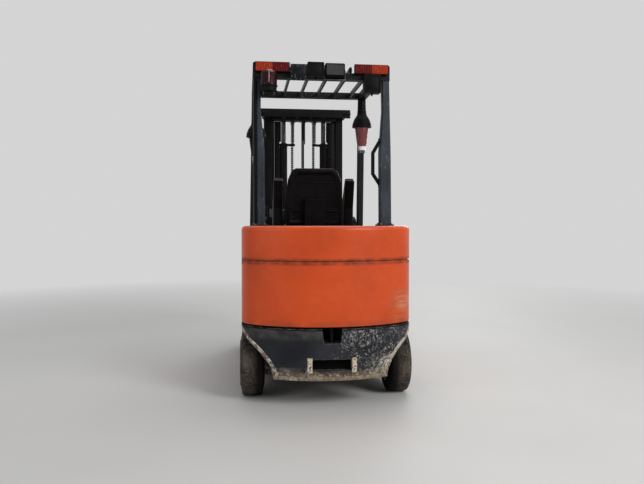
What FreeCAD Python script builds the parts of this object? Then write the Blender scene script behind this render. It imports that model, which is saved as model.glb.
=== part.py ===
import FreeCAD, Part
import math
import os

# Four-wheel electric counterbalance truck on cushion tyres, with a two-stage mast.
# Millimetres. +Z up, +Y forward to the fork tips, +X to the driver's right.
# While it is being shaped, Y = 0 is the rearmost point of the counterweight and Z = 0 is the floor;
# the last step moves everything back by half the overall length.

V = FreeCAD.Vector

# Fits and clearances
FIT = 0.2            # pieces seated on each other on one body
RUN = 0.3            # radial gap of a pin or shaft that turns
ROLL = 0.5           # mast roller to the track it runs in
CLEAR = 5.0          # moving pieces past each other
REACH = 1.0          # how far a cutter runs past the face it cuts

# Whole truck
body_half = 530.0
rear_axle_y = 395.0
wheelbase = 1400.0
load_distance = 415.0
fork_length = 1070.0

# Counterweight
cw_arc_r = 750.0
cw_corner_r = 200.0
cw_top_z = 1075.0
cw_groove_z = 866.0
cw_groove_h = 10.0
cw_groove_d = 10.0
cw_bottom_z = 482.0
cw_depth = 600.0
cw_rim_r = 26.0
base_gap = 15.0
base_neck_in = 14.0
base_bottom_z = 165.0
base_wall = 20.0
pocket_top_half = 62.0
pocket_low_half = 50.0
pocket_low_z = 384.0
pocket_depth = 110.0
pocket_pin_r = 14.0
pocket_pin_in = 30.0
slot_half = 118.0
slot_low_z = 221.0
slot_high_z = 290.0
slot_depth = 55.0

# Wheel arches in the base
arch_r = 312.0
arch_centre_z = 150.0
arch_w = 365.0
arch_front_r = 150.0
arch_front_run = 255.0

# Rear wheels and steer axle
rear_tyre_r = 203.0
rear_tyre_w = 152.0
rear_rim_r = 133.5
rear_wheel_in = 65.0
kingpin_in = 85.0
kingpin_r = 18.0
beam_half_y = 32.0
beam_half_z = 40.0
ear_z = 50.0
ear_t = 20.0
ear_r = 30.0
knuckle_half_z = 44.0
spindle_r = 25.0
arm_length = 100.0
arm_in = 20.0
arm_t = 16.0
steer_barrel_r = 34.0
steer_rod_r = 14.0
steer_rod_out = 118.0
steer_link = 142.0
steer_foot_w = 24.0
steer_foot_in = 36.0
saddle_in = 65.0

# Front wheels and drive axle
front_tyre_r = 267.0
front_tyre_w = 178.0
front_rim_r = 190.5
front_wheel_in = 83.0
axle_tube_r = 52.0
hub_shaft_r = 32.0
motor_in = 40.0
motor_gap = 52.0
motor_r = 100.0
drum_r = 150.0
drum_w = 44.0

# Wheel discs, shared by front and rear
rim_wall = 15.0
hub_wall = 20.0
tyre_slope = 14.0     # how far each sidewall leans in from the rim to the tread

# Frame and battery
sill_w = 60.0
sill_low_z = 110.0
sill_high_z = 330.0
pan_t = 18.0
bulkhead_t = 18.0
battery_gap = 12.0
bay_length = 720.0
battery_top_z = 830.0
panel_t = 26.0
panel_high_z = 865.7
leg_gap = 96.0
leg_t = 20.0
leg_front_y = 1866.0

# Floor, cowl and fenders
floor_z = 540.0
floor_t = 18.0
mat_t = 6.0
floor_in = 30.0
cowl_rear_y = 1560.0
cowl_lean = 40.0
cowl_front_y = 1706.0
cowl_high_z = 1150.0
dash_low_z = 1000.0
cowl_wide_z = 665.0
cowl_foot_gap = 38.0
cowl_gap = 20.0
display_in = 80.0
display_w = 160.0
pedal_out = 10.0
pedal_gap = 40.0
accelerator_w = 70.0
brake_w = 100.0
lever_in = 220.0
lever_pitch = 55.0
fender_gap = 16.0
fender_t = 14.0

# Hood and seat
hood_high_z = 950.0
hood_gap = 8.0
hood_wall = 22.0
hood_in = 6.0
hood_corner_r = 60.0
hinge_r = 7.0
hinge_x = 300.0
hinge_w = 80.0
seat_x = -25.0
seat_half = 212.0
seat_base_high_z = 1010.0
seat_rear_y = 800.0
seat_front_y = 1245.0
cushion_t = 95.0
back_low_z = 1075.0
back_high_z = 1476.0
back_half = 200.0
back_t = 85.0
back_lean = 8.0
restraint_x = 220.0
restraint_t = 66.0

# Overhead guard
roof_high_z = 2145.0
roof_in = 75.0
roof_rail_w = 50.0
roof_rail_h = 58.0
rear_header_y = 525.0
rear_header_w = 60.0
rear_header_low_z = 2044.0
rear_header_high_z = 2088.0
front_header_y = 1418.0
front_header_w = 56.0
front_header_h = 46.0
bar_count = 6
bar_pitch = 132.0
bar_w = 14.0
bar_h = 34.0
rear_pillar_foot_y = 455.0
rear_pillar_foot_w = 77.0
rear_pillar_top_w = 51.0
front_pillar_foot_y = 1662.0
front_pillar_top_y = 1428.0
front_pillar_in = 100.0
front_pillar_w = 50.0
front_pillar_d = 58.0

# Mast
mast_gap = 13.0
pivot_y = 1878.0
pivot_z = 150.0
pivot_pin_r = 20.0
outer_y = 1912.0
outer_d = 140.0
outer_flange = 18.0
outer_web = 14.0
outer_w = 60.0
outer_low_z = 95.0
outer_high_z = 2083.0
inner_flange = 14.0
inner_web = 10.0
inner_out = 25.0
inner_in = 35.0
inner_low_z = 190.0
inner_drop = 23.0
roller_w = 26.0
roller_pin_r = 14.0
tie_out = 59.0
tie_t = 20.0
tie_gap = 6.0
tie_low_z = 1180.0
tie_h = 70.0
inner_tie_z = 400.0
inner_tie_h = 68.0
inner_tie_t = 15.0
lift_gap = 47.0
lift_y = 1920.0
lift_barrel_r = 32.0
lift_bore_r = 25.0
lift_rod_r = 20.0
lift_barrel_drop = 240.0
lift_foot_z = 175.0
sheave_share = 4.0 / 7.0      # place of a chain sheave between the hose sheave and the rod
sheave_r = 45.0
sheave_w = 30.0
sheave_pin_r = 12.0
sheave_drop = 52.0
hose_x = 12.6
hose_r = 6.0
chain_w = 24.0
chain_t = 14.0

# Carriage and forks
plate_gap = 6.0
plate_t = 28.0
plate_rear_y = 1950.0
plate_low_z = 185.0
plate_high_z = 560.0
carriage_in = 70.0
bar_plate_t = 30.0
carriage_low_z = 84.0
carriage_height = 407.0
carriage_bar_h = 85.0
carriage_front_y = 2170.0
fork_w = 100.0
fork_t = 40.0
fork_tip_t = 12.0
fork_x = 240.0
fork_floor = 12.0
hook_h = 16.0
backrest_high_z = 1255.0
backrest_bar = 22.0
backrest_bars = 7

# Tilt cylinders
tilt_in = 27.0
tilt_rear_y = 1420.0
tilt_rear_z = 440.0
tilt_front_y = 1866.0
tilt_front_z = 580.0
tilt_barrel_r = 30.0
tilt_rod_r = 16.0
tilt_eye_r = 28.0
tilt_eye_w = 30.0
tilt_pin_r = 14.0
tilt_slack = 2.0
tilt_barrel_length = 300.0
tilt_barrel_start = 34.0
tilt_neck_r = 18.0

# Lamps and boxes on the rear header
lamp_in, lamp_mid, lamp_out = 214.0, 326.0, 440.0
lamp_case_t = 13.0
lamp_lens_t = 16.0
middle_box_x0, middle_box_x1 = -102.0, 8.0
work_lamp_x0, work_lamp_x1 = 15.0, 146.0
header_box_d = 55.0
header_box_low = 4.0
header_box_high = 3.0
work_lamp_d = 47.0
work_lamp_low = 8.0
work_lamp_high = 7.0
work_lens_t = 10.0
work_lens_side = 9.0
work_lens_rim = 8.0
relay_box_in = 18.0
relay_box_w = 114.0
relay_box_drop = 94.0
relay_box_h = 122.0
beacon_in = 50.0
beacon_out = 61.0
beacon_drop = 104.0
beacon_base_r = 52.0
beacon_base_h = 40.0
beacon_shelf_t = 8.0

# Sizes that follow from the ones above
rear_track_half = body_half - rear_wheel_in
kingpin_x = rear_track_half - kingpin_in
steer_rod_half = kingpin_x - steer_link
steer_barrel_half = steer_rod_half - steer_rod_out
arch_inner_x = body_half - arch_w
saddle_half = arch_inner_x - saddle_in
sill_x = body_half - sill_w
floor_half = body_half - floor_in
hood_half = body_half - hood_in
roof_half = body_half - roof_in
pillar_face_x = roof_half - rear_pillar_top_w
front_pillar_x = body_half - front_pillar_in
cowl_half_high = front_pillar_x - cowl_gap
carriage_half = body_half - carriage_in
front_track_half = body_half - front_wheel_in
front_tyre_face_x = front_track_half - front_tyre_w / 2
leg_x = front_tyre_face_x - leg_gap
mast_half = front_tyre_face_x - mast_gap
tie_half = mast_half + tie_out
tilt_x = mast_half - tilt_in
cowl_half_low = tilt_x - tilt_barrel_r - cowl_foot_gap
inner_high_z = outer_high_z - inner_drop
sheave_z = inner_high_z - sheave_drop
barrel_top_z = sheave_z - lift_barrel_drop
front_axle_y = rear_axle_y + wheelbase
fork_face_y = front_axle_y + load_distance
overall_length = fork_face_y + fork_length
base_depth = rear_axle_y + arch_front_run + base_wall
bay_rear_y = base_depth + FIT
bay_front_y = bay_rear_y + bay_length
hood_rear_y = cw_depth + hood_gap
inner_y = outer_y + outer_flange + CLEAR
inner_d = outer_d - 2 * outer_flange - 2 * CLEAR
track_y = inner_y + inner_d / 2
inner_web_x = mast_half - outer_web - CLEAR - inner_out - inner_web
plate_x = inner_web_x - inner_in - plate_gap
lift_x = plate_x - plate_t - lift_gap
sheave_x = sheave_w / 2 + (lift_x - lift_rod_r - sheave_w / 2) * sheave_share
sheave_y = lift_y + 24.0
hood_low_z = panel_high_z + RUN
leg_high_z = floor_z - FIT
steer_line_z = rear_tyre_r + ear_z + ear_t + CLEAR + REACH + arm_t / 2


# Shape helpers

def block(x0, x1, y0, y1, z0, z1):
    """A box between two corners given axis by axis."""
    return Part.makeBox(x1 - x0, y1 - y0, z1 - z0, V(x0, y0, z0))


def bar(x, y, z, r, length, axis):
    """A round bar that starts at a point and runs along an axis."""
    return Part.makeCylinder(r, length, V(x, y, z), axis)


X, Y, Z = V(1, 0, 0), V(0, 1, 0), V(0, 0, 1)


def face_of(points):
    return Part.Face(Part.makePolygon(points + [points[0]]))


def prism_x(yz, x0, x1):
    """A closed outline in Y and Z, drawn along X."""
    return face_of([V(x0, y, z) for y, z in yz]).extrude(V(x1 - x0, 0, 0))


def prism_y(xz, y0, y1):
    """A closed outline in X and Z, drawn along Y."""
    return face_of([V(x, y0, z) for x, z in xz]).extrude(V(0, y1 - y0, 0))


def prism_z(xy, z0, z1):
    """A closed outline in X and Y, drawn along Z."""
    return face_of([V(x, y, z0) for x, y in xy]).extrude(V(0, 0, z1 - z0))


def loft(sections):
    """A solid through rectangles given as (x0, x1, y0, y1, z, corner cut)."""
    wires = []
    for x0, x1, y0, y1, z, c in sections:
        pts = [(x0 + c, y0), (x1 - c, y0), (x1, y0 + c), (x1, y1 - c),
               (x1 - c, y1), (x0 + c, y1), (x0, y1 - c), (x0, y0 + c)]
        wires.append(Part.makePolygon([V(x, y, z) for x, y in pts + pts[:1]]))
    return Part.makeLoft(wires, True, True)


def turned(profile, x, y, z):
    """A body turned about a line along X; profile rows are (distance along X, radius)."""
    outline = face_of([V(a, r, 0) for a, r in profile])
    solid = outline.revolve(V(0, 0, 0), X, 360)
    solid.translate(V(x, y, z))
    return solid


def mirrored(shape):
    return shape.mirror(V(0, 0, 0), X)


def pair(shape):
    """The piece and its twin on the other side, as two solids."""
    return Part.makeCompound([shape, mirrored(shape)])


def fuse(first, *rest):
    return first.fuse(list(rest)).removeSplitter()


def along(edge, axis):
    """True where an edge is straight and runs along an axis."""
    if not isinstance(edge.Curve, Part.Line):
        return False
    d = edge.tangentAt(edge.FirstParameter)
    return abs(abs(d.dot(axis)) - 1) < 1e-6


def rounded(shape, r, test):
    """Fillet the edges that a test picks."""
    picked = [e for e in shape.Edges if test(e)]
    return shape.makeFillet(r, picked)


def soft_box(x0, x1, y0, y1, z0, z1, r):
    """A box whose edges along Y are rounded."""
    return rounded(block(x0, x1, y0, y1, z0, z1), r, lambda e: along(e, Y))


# Counterweight

def plan_wire(inset, depth, z):
    """The truck's rear outline in plan: one wide arc, two corner arcs and straight sides."""
    half = body_half - inset
    r, rc = cw_arc_r - inset, cw_corner_r - inset
    cx = body_half - cw_corner_r
    cy = cw_arc_r - math.sqrt((cw_arc_r - cw_corner_r) ** 2 - cx ** 2)
    turn = math.atan2(cx, cw_arc_r - cy)
    tx, ty = r * math.sin(turn), cw_arc_r - r * math.cos(turn)
    mid = (math.pi / 2 + turn) / 2
    mx, my = cx + rc * math.sin(mid), cy - rc * math.cos(mid)
    p = lambda x, y: V(x, y, z)
    edges = [
        Part.LineSegment(p(-half, depth), p(-half, cy)),
        Part.Arc(p(-half, cy), p(-mx, my), p(-tx, ty)),
        Part.Arc(p(-tx, ty), p(0, inset), p(tx, ty)),
        Part.Arc(p(tx, ty), p(mx, my), p(half, cy)),
        Part.LineSegment(p(half, cy), p(half, depth)),
        Part.LineSegment(p(half, depth), p(-half, depth)),
    ]
    return Part.Wire([e.toShape() for e in edges])


def plan_slab(inset, depth, z0, z1):
    return Part.Face(plan_wire(inset, depth, z0)).extrude(V(0, 0, z1 - z0))


def counterweight():
    body = plan_slab(0, cw_depth, cw_bottom_z, cw_top_z)
    rim = lambda e: (abs(e.BoundBox.ZMin - cw_top_z) < 0.01 and abs(e.BoundBox.ZMax - cw_top_z) < 0.01
                     and e.BoundBox.YMin < cw_depth - 1)
    body = rounded(body, cw_rim_r, rim)
    z0 = cw_groove_z - cw_groove_h / 2
    ring = plan_slab(-REACH, cw_depth + REACH, z0, z0 + cw_groove_h)
    ring = ring.cut(plan_slab(cw_groove_d, cw_depth + 2 * REACH, z0 - REACH, z0 + cw_groove_h + REACH))
    body = body.cut(ring)
    hole = bar(0, pocket_depth / 2, cw_bottom_z - REACH, pocket_pin_r + FIT, pocket_pin_in + REACH, Z)
    return body.cut(hole)


def arch_cutter():
    """The room a steered wheel turns in, drawn in side view and run along X."""
    zt = arch_centre_z + arch_r
    y0 = rear_axle_y
    y1 = y0 + arch_front_run
    low = base_bottom_z - 100
    k = math.sqrt(0.5)
    p = lambda y, z: V(arch_inner_x, y, z)
    edges = [
        Part.LineSegment(p(y0 - arch_r, low), p(y0 - arch_r, arch_centre_z)),
        Part.Arc(p(y0 - arch_r, arch_centre_z), p(y0 - arch_r * k, arch_centre_z + arch_r * k), p(y0, zt)),
        Part.LineSegment(p(y0, zt), p(y1 - arch_front_r, zt)),
        Part.Arc(p(y1 - arch_front_r, zt), p(y1 - arch_front_r * (1 - k), zt - arch_front_r * (1 - k)),
                 p(y1, zt - arch_front_r)),
        Part.LineSegment(p(y1, zt - arch_front_r), p(y1, low)),
        Part.LineSegment(p(y1, low), p(y0 - arch_r, low)),
    ]
    face = Part.Face(Part.Wire([e.toShape() for e in edges]))
    return face.extrude(V(body_half - arch_inner_x + 50, 0, 0))


def counterweight_base():
    top = cw_bottom_z - base_gap
    body = plan_slab(0, base_depth, base_bottom_z, top)
    neck = plan_slab(base_neck_in, cw_depth, top, cw_bottom_z)
    body = fuse(body, neck)
    arch = arch_cutter()
    body = body.cut([arch, mirrored(arch)])
    # channel for the steer axle and its cylinder
    body = body.cut(block(-arch_inner_x - REACH, arch_inner_x + REACH,
                          rear_axle_y - arm_length - steer_barrel_r - 3 * CLEAR,
                          rear_axle_y + beam_half_y + 2 * CLEAR, base_bottom_z - REACH, channel_z()))
    pocket = prism_y([(-pocket_low_half, pocket_low_z), (pocket_low_half, pocket_low_z),
                      (pocket_top_half, cw_bottom_z), (-pocket_top_half, cw_bottom_z)],
                     -REACH, pocket_depth)
    slot = block(-slot_half, slot_half, -REACH, slot_depth, slot_low_z, slot_high_z)
    slot = rounded(slot, 12, lambda e: along(e, Y))
    hole = bar(0, pocket_depth / 2, pocket_low_z - pocket_pin_in, pocket_pin_r + FIT,
               pocket_pin_in + REACH, Z)
    return body.cut([pocket, slot, hole])


def channel_z():
    return steer_line_z + steer_barrel_r + 12.0


def rear_axle_z():
    return rear_tyre_r


def drawbar_pin():
    z0 = pocket_low_z - pocket_pin_in + FIT
    z1 = cw_bottom_z + pocket_pin_in - FIT
    pin = bar(0, pocket_depth / 2, z0, pocket_pin_r, z1 - z0, Z)
    collar = bar(0, pocket_depth / 2, pocket_low_z + FIT, pocket_pin_r + 6, 8, Z)
    return fuse(pin, collar)


# Wheels: profile rows run from the inboard face to the outboard face, side = +1 on the right

def tyre(side, track, axle_y, r, w, bore):
    tread = w / 2 - tyre_slope
    rows = [(-w / 2, bore), (-tread, r), (tread, r), (w / 2, bore)]
    solid = turned(rows, track, axle_y, r)
    return solid if side > 0 else mirrored(solid)


def wheel(side, track, axle_y, r, w, bore, shaft_r, disc_in, disc_out, bolts, bolt_ring):
    """Rim band, dished disc and hub in one; the hub is bored for its shaft."""
    rim = bore - FIT
    inner = rim - rim_wall
    hub = shaft_r + RUN + hub_wall
    half = w / 2 - 4
    rows = [(-half, inner), (-half, rim), (half, rim), (half, inner), (disc_out, inner - 6),
            (disc_out - 4, hub + 14), (disc_out + 14, hub), (disc_out + 14, shaft_r + RUN),
            (disc_in - 18, shaft_r + RUN), (disc_in - 18, hub), (disc_in - 4, hub + 10),
            (disc_in, inner - 10), (disc_in - 14, inner)]
    solid = turned(rows, 0, 0, 0)
    mid = (inner + hub) / 2
    for k in range(bolts):
        a = 2 * math.pi * (k + 0.5) / bolts
        solid = solid.cut(bar(disc_in - 30, mid * math.cos(a), mid * math.sin(a), bolt_ring, 80, X))
    cap = bar(disc_out + 14, 0, 0, hub - 6, 10, X)
    solid = fuse(solid, cap)
    solid.translate(V(track, axle_y, r))
    return solid if side > 0 else mirrored(solid)


# Steer axle

def steer_axle():
    y, z = rear_axle_y, rear_axle_z()
    web_x = kingpin_x - ear_r - 2 * CLEAR
    parts = [block(-web_x, web_x, y - beam_half_y, y + beam_half_y, z - beam_half_z, z + beam_half_z),
             block(-saddle_half, saddle_half, y - beam_half_y, y + beam_half_y, z, channel_z())]
    for s in (-1, 1):
        for low in (z - ear_z - ear_t, z + ear_z):
            x0, x1 = sorted((s * (web_x - 40), s * kingpin_x))
            parts.append(block(x0, x1, y - ear_r, y + ear_r, low, low + ear_t))
            parts.append(bar(s * kingpin_x, y, low, ear_r, ear_t, Z))
        x0, x1 = sorted((s * (web_x - 40), s * web_x))
        parts.append(block(x0, x1, y - beam_half_y, y + beam_half_y, z - ear_z - ear_t, z + ear_z + ear_t))
    line_y = y - arm_length
    parts.append(bar(-steer_barrel_half, line_y, steer_line_z, steer_barrel_r, 2 * steer_barrel_half, X))
    for s in (-1, 1):
        foot = steer_barrel_half - steer_foot_in
        x0, x1 = sorted((s * (foot - steer_foot_w), s * foot))
        parts.append(block(x0, x1, line_y, y, steer_line_z - 20, steer_line_z + 20))
    body = fuse(parts[0], *parts[1:])
    for s in (-1, 1):
        reach = ear_z + ear_t + REACH
        body = body.cut(bar(s * kingpin_x, y, z - reach, kingpin_r + RUN, 2 * reach, Z))
    bore_half = steer_barrel_half + REACH
    return body.cut(bar(-bore_half, line_y, steer_line_z, steer_rod_r + RUN, 2 * bore_half, X))


def steer_rod():
    """The double-ended rod with an eye at each end."""
    y = rear_axle_y - arm_length
    parts = [bar(-steer_rod_half, y, steer_line_z, steer_rod_r, 2 * steer_rod_half, X)]
    for s in (-1, 1):
        parts.append(bar(s * steer_rod_half, y, steer_line_z - 12, 19, 24, Z))
    body = fuse(parts[0], *parts[1:])
    for s in (-1, 1):
        body = body.cut(bar(s * steer_rod_half, y, steer_line_z - 20, 8, 40, Z))
    return body


def knuckle(side):
    y, z = rear_axle_y, rear_axle_z()
    arm_z = steer_line_z - arm_t / 2
    pin_low = z - ear_z - ear_t - 6
    pin = fuse(bar(kingpin_x, y, pin_low, kingpin_r, arm_z + arm_t - pin_low, Z),
               bar(kingpin_x, y, arm_z, kingpin_r + 8, arm_t, Z))
    core = block(kingpin_x - 22, kingpin_x + ear_r, y - 25, y + 25, z - knuckle_half_z, z + knuckle_half_z)
    end_x = rear_track_half + 40
    spindle = bar(kingpin_x, y, z, spindle_r, end_x - kingpin_x, X)
    flange = bar(kingpin_x + ear_r, y, z, 42, 8, X)
    arm = prism_z([(kingpin_x - 18, y), (kingpin_x + 14, y), (kingpin_x - arm_in + 16, y - arm_length),
                   (kingpin_x - arm_in - 16, y - arm_length)], arm_z, arm_z + arm_t)
    eye = bar(kingpin_x - arm_in, y - arm_length, arm_z, 18, arm_t, Z)
    body = fuse(pin, core, spindle, flange, arm, eye)
    body = body.cut(bar(kingpin_x - arm_in, y - arm_length, arm_z - 5, 8, arm_t + 10, Z))
    return body if side > 0 else mirrored(body)


# Frame

def frame():
    y0, y1 = bay_rear_y, bay_front_y
    parts = []
    for s in (-1, 1):
        x0, x1 = sorted((s * sill_x, s * body_half))
        parts.append(block(x0, x1, y0, fender_rear_y(), sill_low_z, sill_high_z))
    parts.append(block(-sill_x, sill_x, y0, y1, sill_low_z, sill_low_z + pan_t))
    for yb in (y0, y1 - bulkhead_t):
        parts.append(block(-sill_x, sill_x, yb, yb + bulkhead_t, sill_low_z, battery_top_z))
    for s in (-1, 1):
        x0, x1 = sorted((s * leg_x, s * (leg_x + leg_t)))
        leg = prism_x([(y1 - REACH, sill_low_z), (pivot_y + 24, sill_low_z), (pivot_y + 36, sill_low_z + 12),
                       (pivot_y + 36, pivot_z + 20), (pivot_y + 12, pivot_z + 52),
                       (leg_front_y, axle_z() - 20),
                       (leg_front_y, axle_z() + 30), (front_axle_y - 4, axle_z() + 84),
                       (front_axle_y - 16, leg_high_z), (y1 - REACH, leg_high_z)], x0, x1)
        parts.append(leg)
    parts.append(block(-leg_x, leg_x, cowl_rear_y + 60, cowl_rear_y + 90,
                       axle_z() + axle_tube_r + 40, leg_high_z))
    # a step in each sill opening, and the pin that holds each tilt cylinder's rear eye
    step_y = fender_rear_y() - FIT
    for one in (block(leg_x + leg_t - REACH, body_half, y1 - REACH, step_y, sill_high_z - 20, sill_high_z),
                block(floor_half - 60, floor_half - 42, y1 - REACH, step_y, sill_high_z - REACH, leg_high_z),
                block(leg_x + leg_t - REACH, tilt_x - tilt_eye_w / 2 - CLEAR,
                      tilt_rear_y - 18, tilt_rear_y + 18,
                      tilt_rear_z - 34, tilt_rear_z + 34),
                bar(leg_x + leg_t - REACH, tilt_rear_y, tilt_rear_z, tilt_pin_r,
                    tilt_x + tilt_eye_w / 2 + 4 - leg_x - leg_t + REACH, X)):
        parts += [one, mirrored(one)]
    body = fuse(parts[0], *parts[1:])
    cutters = [bar(-400, front_axle_y, axle_z(), axle_tube_r + FIT, 800, X),
               bar(-400, pivot_y, pivot_z, pivot_pin_r + RUN, 800, X)]
    return body.cut(cutters)


def axle_z():
    return front_tyre_r


def fender_rear_y():
    return front_axle_y - front_tyre_r - fender_gap - fender_t


def battery():
    g = battery_gap
    y0, y1 = bay_rear_y + bulkhead_t + g, bay_front_y - bulkhead_t - g
    body = block(-sill_x + g, sill_x - g, y0, y1, sill_low_z + pan_t + FIT, battery_top_z)
    return rounded(body, 8, lambda e: along(e, Z))


def side_panel():
    y0, y1 = bay_rear_y, bay_front_y
    panel = block(body_half - panel_t, body_half, y0, y1, sill_high_z + FIT, panel_high_z)
    panel = rounded(panel, 30, lambda e: along(e, X) and e.BoundBox.ZMax > panel_high_z - 1)
    # hand recess and a row of vent slots
    recess = block(body_half - 12, body_half + REACH, (y0 + y1) / 2 - 70, (y0 + y1) / 2 + 70,
                   panel_high_z - 110, panel_high_z - 70)
    panel = panel.cut(recess)
    for k in range(5):
        z = sill_high_z + 60 + 26 * k
        panel = panel.cut(block(body_half - panel_t - REACH, body_half + REACH, y0 + 90, y0 + 250, z, z + 9))
    inner = block(sill_x, body_half - panel_t, y0 + 40, y1 - 40, sill_high_z + FIT, sill_high_z + 60)
    return fuse(panel, inner)


def floor_plate():
    wide = block(-floor_half, floor_half, bay_front_y + FIT, cowl_rear_y, floor_z, floor_z + floor_t)
    under_cowl = block(-cowl_half_low, cowl_half_low, cowl_rear_y - REACH, cowl_front_y,
                       floor_z, floor_z + floor_t)
    return fuse(wide, under_cowl)


def floor_mat():
    y1 = cowl_rear_y
    z0 = floor_z + floor_t
    mat = block(-floor_half + 12, floor_half - 12, bay_front_y + 10, y1 - 6, z0, z0 + mat_t)
    return rounded(mat, 20, lambda e: along(e, Z))


def fender():
    r0 = front_tyre_r + fender_gap
    r1 = r0 + fender_t
    x0 = front_tyre_face_x
    ring = bar(x0, front_axle_y, axle_z(), r1, body_half - x0, X)
    ring = ring.cut(bar(x0 - REACH, front_axle_y, axle_z(), r0, body_half - x0 + 2 * REACH, X))
    keep = prism_x([(front_axle_y - r1 - 5, axle_z() - 90), (front_axle_y, axle_z()),
                    (front_axle_y + 60, axle_z() + r1 + 5), (front_axle_y - r1 - 5, axle_z() + r1 + 5)],
                   x0 - REACH, body_half + REACH)
    return ring.common(keep)


def cowl_hull():
    """Cowl and dashboard as one shape, leaning away from the driver's knees."""
    lean = cowl_lean
    low = prism_x([(cowl_rear_y + lean, floor_z + floor_t + FIT), (cowl_front_y, floor_z + floor_t + FIT),
                   (cowl_front_y, cowl_wide_z), (cowl_rear_y + lean, cowl_wide_z)],
                  -cowl_half_low, cowl_half_low)
    high = prism_x([(cowl_rear_y + lean, cowl_wide_z), (cowl_front_y + 10, cowl_wide_z),
                    (cowl_front_y + 4, cowl_high_z - 150), (cowl_front_y - 20, cowl_high_z - 40),
                    (cowl_front_y - 60, cowl_high_z), (cowl_rear_y + 20, cowl_high_z - 24),
                    (cowl_rear_y - 22, cowl_high_z - 90), (cowl_rear_y - 10, cowl_high_z - 130),
                    (cowl_rear_y + lean + 10, cowl_high_z - 220)], -cowl_half_high, cowl_half_high)
    return fuse(low, high)


def above_dash(z0, z1):
    return block(-body_half, body_half, cowl_rear_y - 100, cowl_front_y + 100, z0, z1)


def cowl():
    return cowl_hull().common(above_dash(floor_z, dash_low_z - FIT))


def dashboard():
    """The moulded top of the cowl, which holds the levers, the column and the display."""
    return cowl_hull().common(above_dash(dash_low_z, cowl_high_z + REACH))


# Overhead guard

def rear_pillar():
    y = rear_pillar_foot_y
    top = rear_header_low_z
    foot_x = roof_half - rear_pillar_foot_w
    return loft([(foot_x, roof_half, y, y + 66, cw_top_z + FIT, 9),
                 (foot_x + 2, roof_half + 1, y + 28, y + 92, 1560, 9),
                 (pillar_face_x, roof_half, y + 58, y + 114, 1840, 8),
                 (pillar_face_x, roof_half, y + 78, y + 130, top, 8)])


def front_pillar():
    y0, y1 = front_pillar_foot_y, front_pillar_top_y
    x0 = front_pillar_x
    z0 = fender_top_z(y0 + front_pillar_d / 2)
    w, d = front_pillar_w, front_pillar_d
    top = roof_high_z - roof_rail_h
    return loft([(x0, x0 + w, y0, y0 + d, z0, 9), (x0 - 25, x0 + w - 25, y1, y1 + d, top, 9)])


def fender_top_z(y):
    r1 = front_tyre_r + fender_gap + fender_t
    return axle_z() + math.sqrt(r1 ** 2 - (y + 30 - front_axle_y) ** 2) + FIT


def guard_roof():
    z1 = roof_high_z
    z0 = z1 - roof_rail_h
    ry, fy = rear_header_y, front_header_y
    parts = []
    for s in (-1, 1):
        x0, x1 = sorted((s * (roof_half - roof_rail_w), s * roof_half))
        rail = block(x0, x1, ry, fy + front_header_w, z0, z1)
        parts.append(rail)
    parts.append(block(-roof_half, roof_half, ry, ry + rear_header_w, rear_header_low_z, rear_header_high_z))
    parts.append(block(-roof_half, roof_half, fy, fy + front_header_w, z1 - front_header_h, z1))
    for k in range(bar_count):
        x = (k - (bar_count - 1) / 2) * bar_pitch
        parts.append(block(x - bar_w / 2, x + bar_w / 2, ry + rear_header_w - 20, fy + 10,
                           z1 - bar_h - 8, z1 - 8))
        parts.append(block(x - bar_w / 2, x + bar_w / 2, ry + rear_header_w - 20, ry + rear_header_w,
                           rear_header_high_z, z1 - 8))
    body = fuse(parts[0], *parts[1:])
    return rounded(body, 12, lambda e: (along(e, Y) or along(e, X)) and e.BoundBox.ZMin > z1 - 0.1
                   and e.Length > 300 and abs(abs(e.CenterOfMass.x) - roof_half) < 1)


# Lamps

lamp_z0 = rear_header_high_z
lamp_z1 = roof_high_z
lamp_y0 = rear_header_y - lamp_case_t
beacon_x = pillar_face_x - beacon_in
beacon_y = rear_header_y - beacon_out
beacon_base_z = rear_header_low_z - beacon_drop
beacon_lens_z = beacon_base_z + beacon_base_h
work_lamp_y = rear_header_y - work_lamp_d
work_lamp_z0 = rear_header_low_z + work_lamp_low
work_lamp_z1 = roof_high_z - work_lamp_high


def lamp_housings():
    corner = block(lamp_in, lamp_out, lamp_y0, rear_header_y, lamp_z0 - 10, lamp_z1 - 2)
    corner = rounded(corner, 8, lambda e: along(e, Y))
    box_y = rear_header_y - header_box_d
    box_z0 = rear_header_low_z + header_box_low
    box_z1 = roof_high_z - header_box_high
    relay_x1 = pillar_face_x - relay_box_in
    relay_z0 = rear_header_low_z - relay_box_drop
    # the beacon's base stands on a shelf that reaches in from the pillar
    base = bar(-beacon_x, beacon_y, beacon_base_z, beacon_base_r, beacon_base_h, Z)
    shelf = block(-pillar_face_x + FIT, -beacon_x + beacon_base_r + 2, beacon_y - 40, beacon_y + 92,
                  beacon_base_z - beacon_shelf_t, beacon_base_z)
    shapes = [
        corner,
        mirrored(corner),
        soft_box(middle_box_x0, middle_box_x1, box_y, rear_header_y, box_z0, box_z1, 8),
        soft_box(work_lamp_x0, work_lamp_x1, work_lamp_y, rear_header_y, work_lamp_z0, work_lamp_z1, 8),
        soft_box(relay_x1 - relay_box_w, relay_x1, box_y, rear_header_y,
                 relay_z0, relay_z0 + relay_box_h, 10),
        fuse(base, shelf),
    ]
    pillar = front_pillar()
    for s in (-1, 1):
        hung = front_dome(s).cut(pillar if s > 0 else mirrored(pillar))
        shapes.append(max(hung.Solids, key=lambda t: t.Volume))
    return Part.makeCompound(shapes)


dome_x = front_pillar_x - 8.0
dome_z, dome_drop = 1864.0, 90.0
lens_h, lens_top_r, lens_low_r = 150.0, 54.0, 35.0
tip_h, tip_r = 58.0, 28.0
dome_h = roof_high_z - roof_rail_h - dome_z - FIT
dome_reach, dome_arm = 82.0, 34.0


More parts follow.
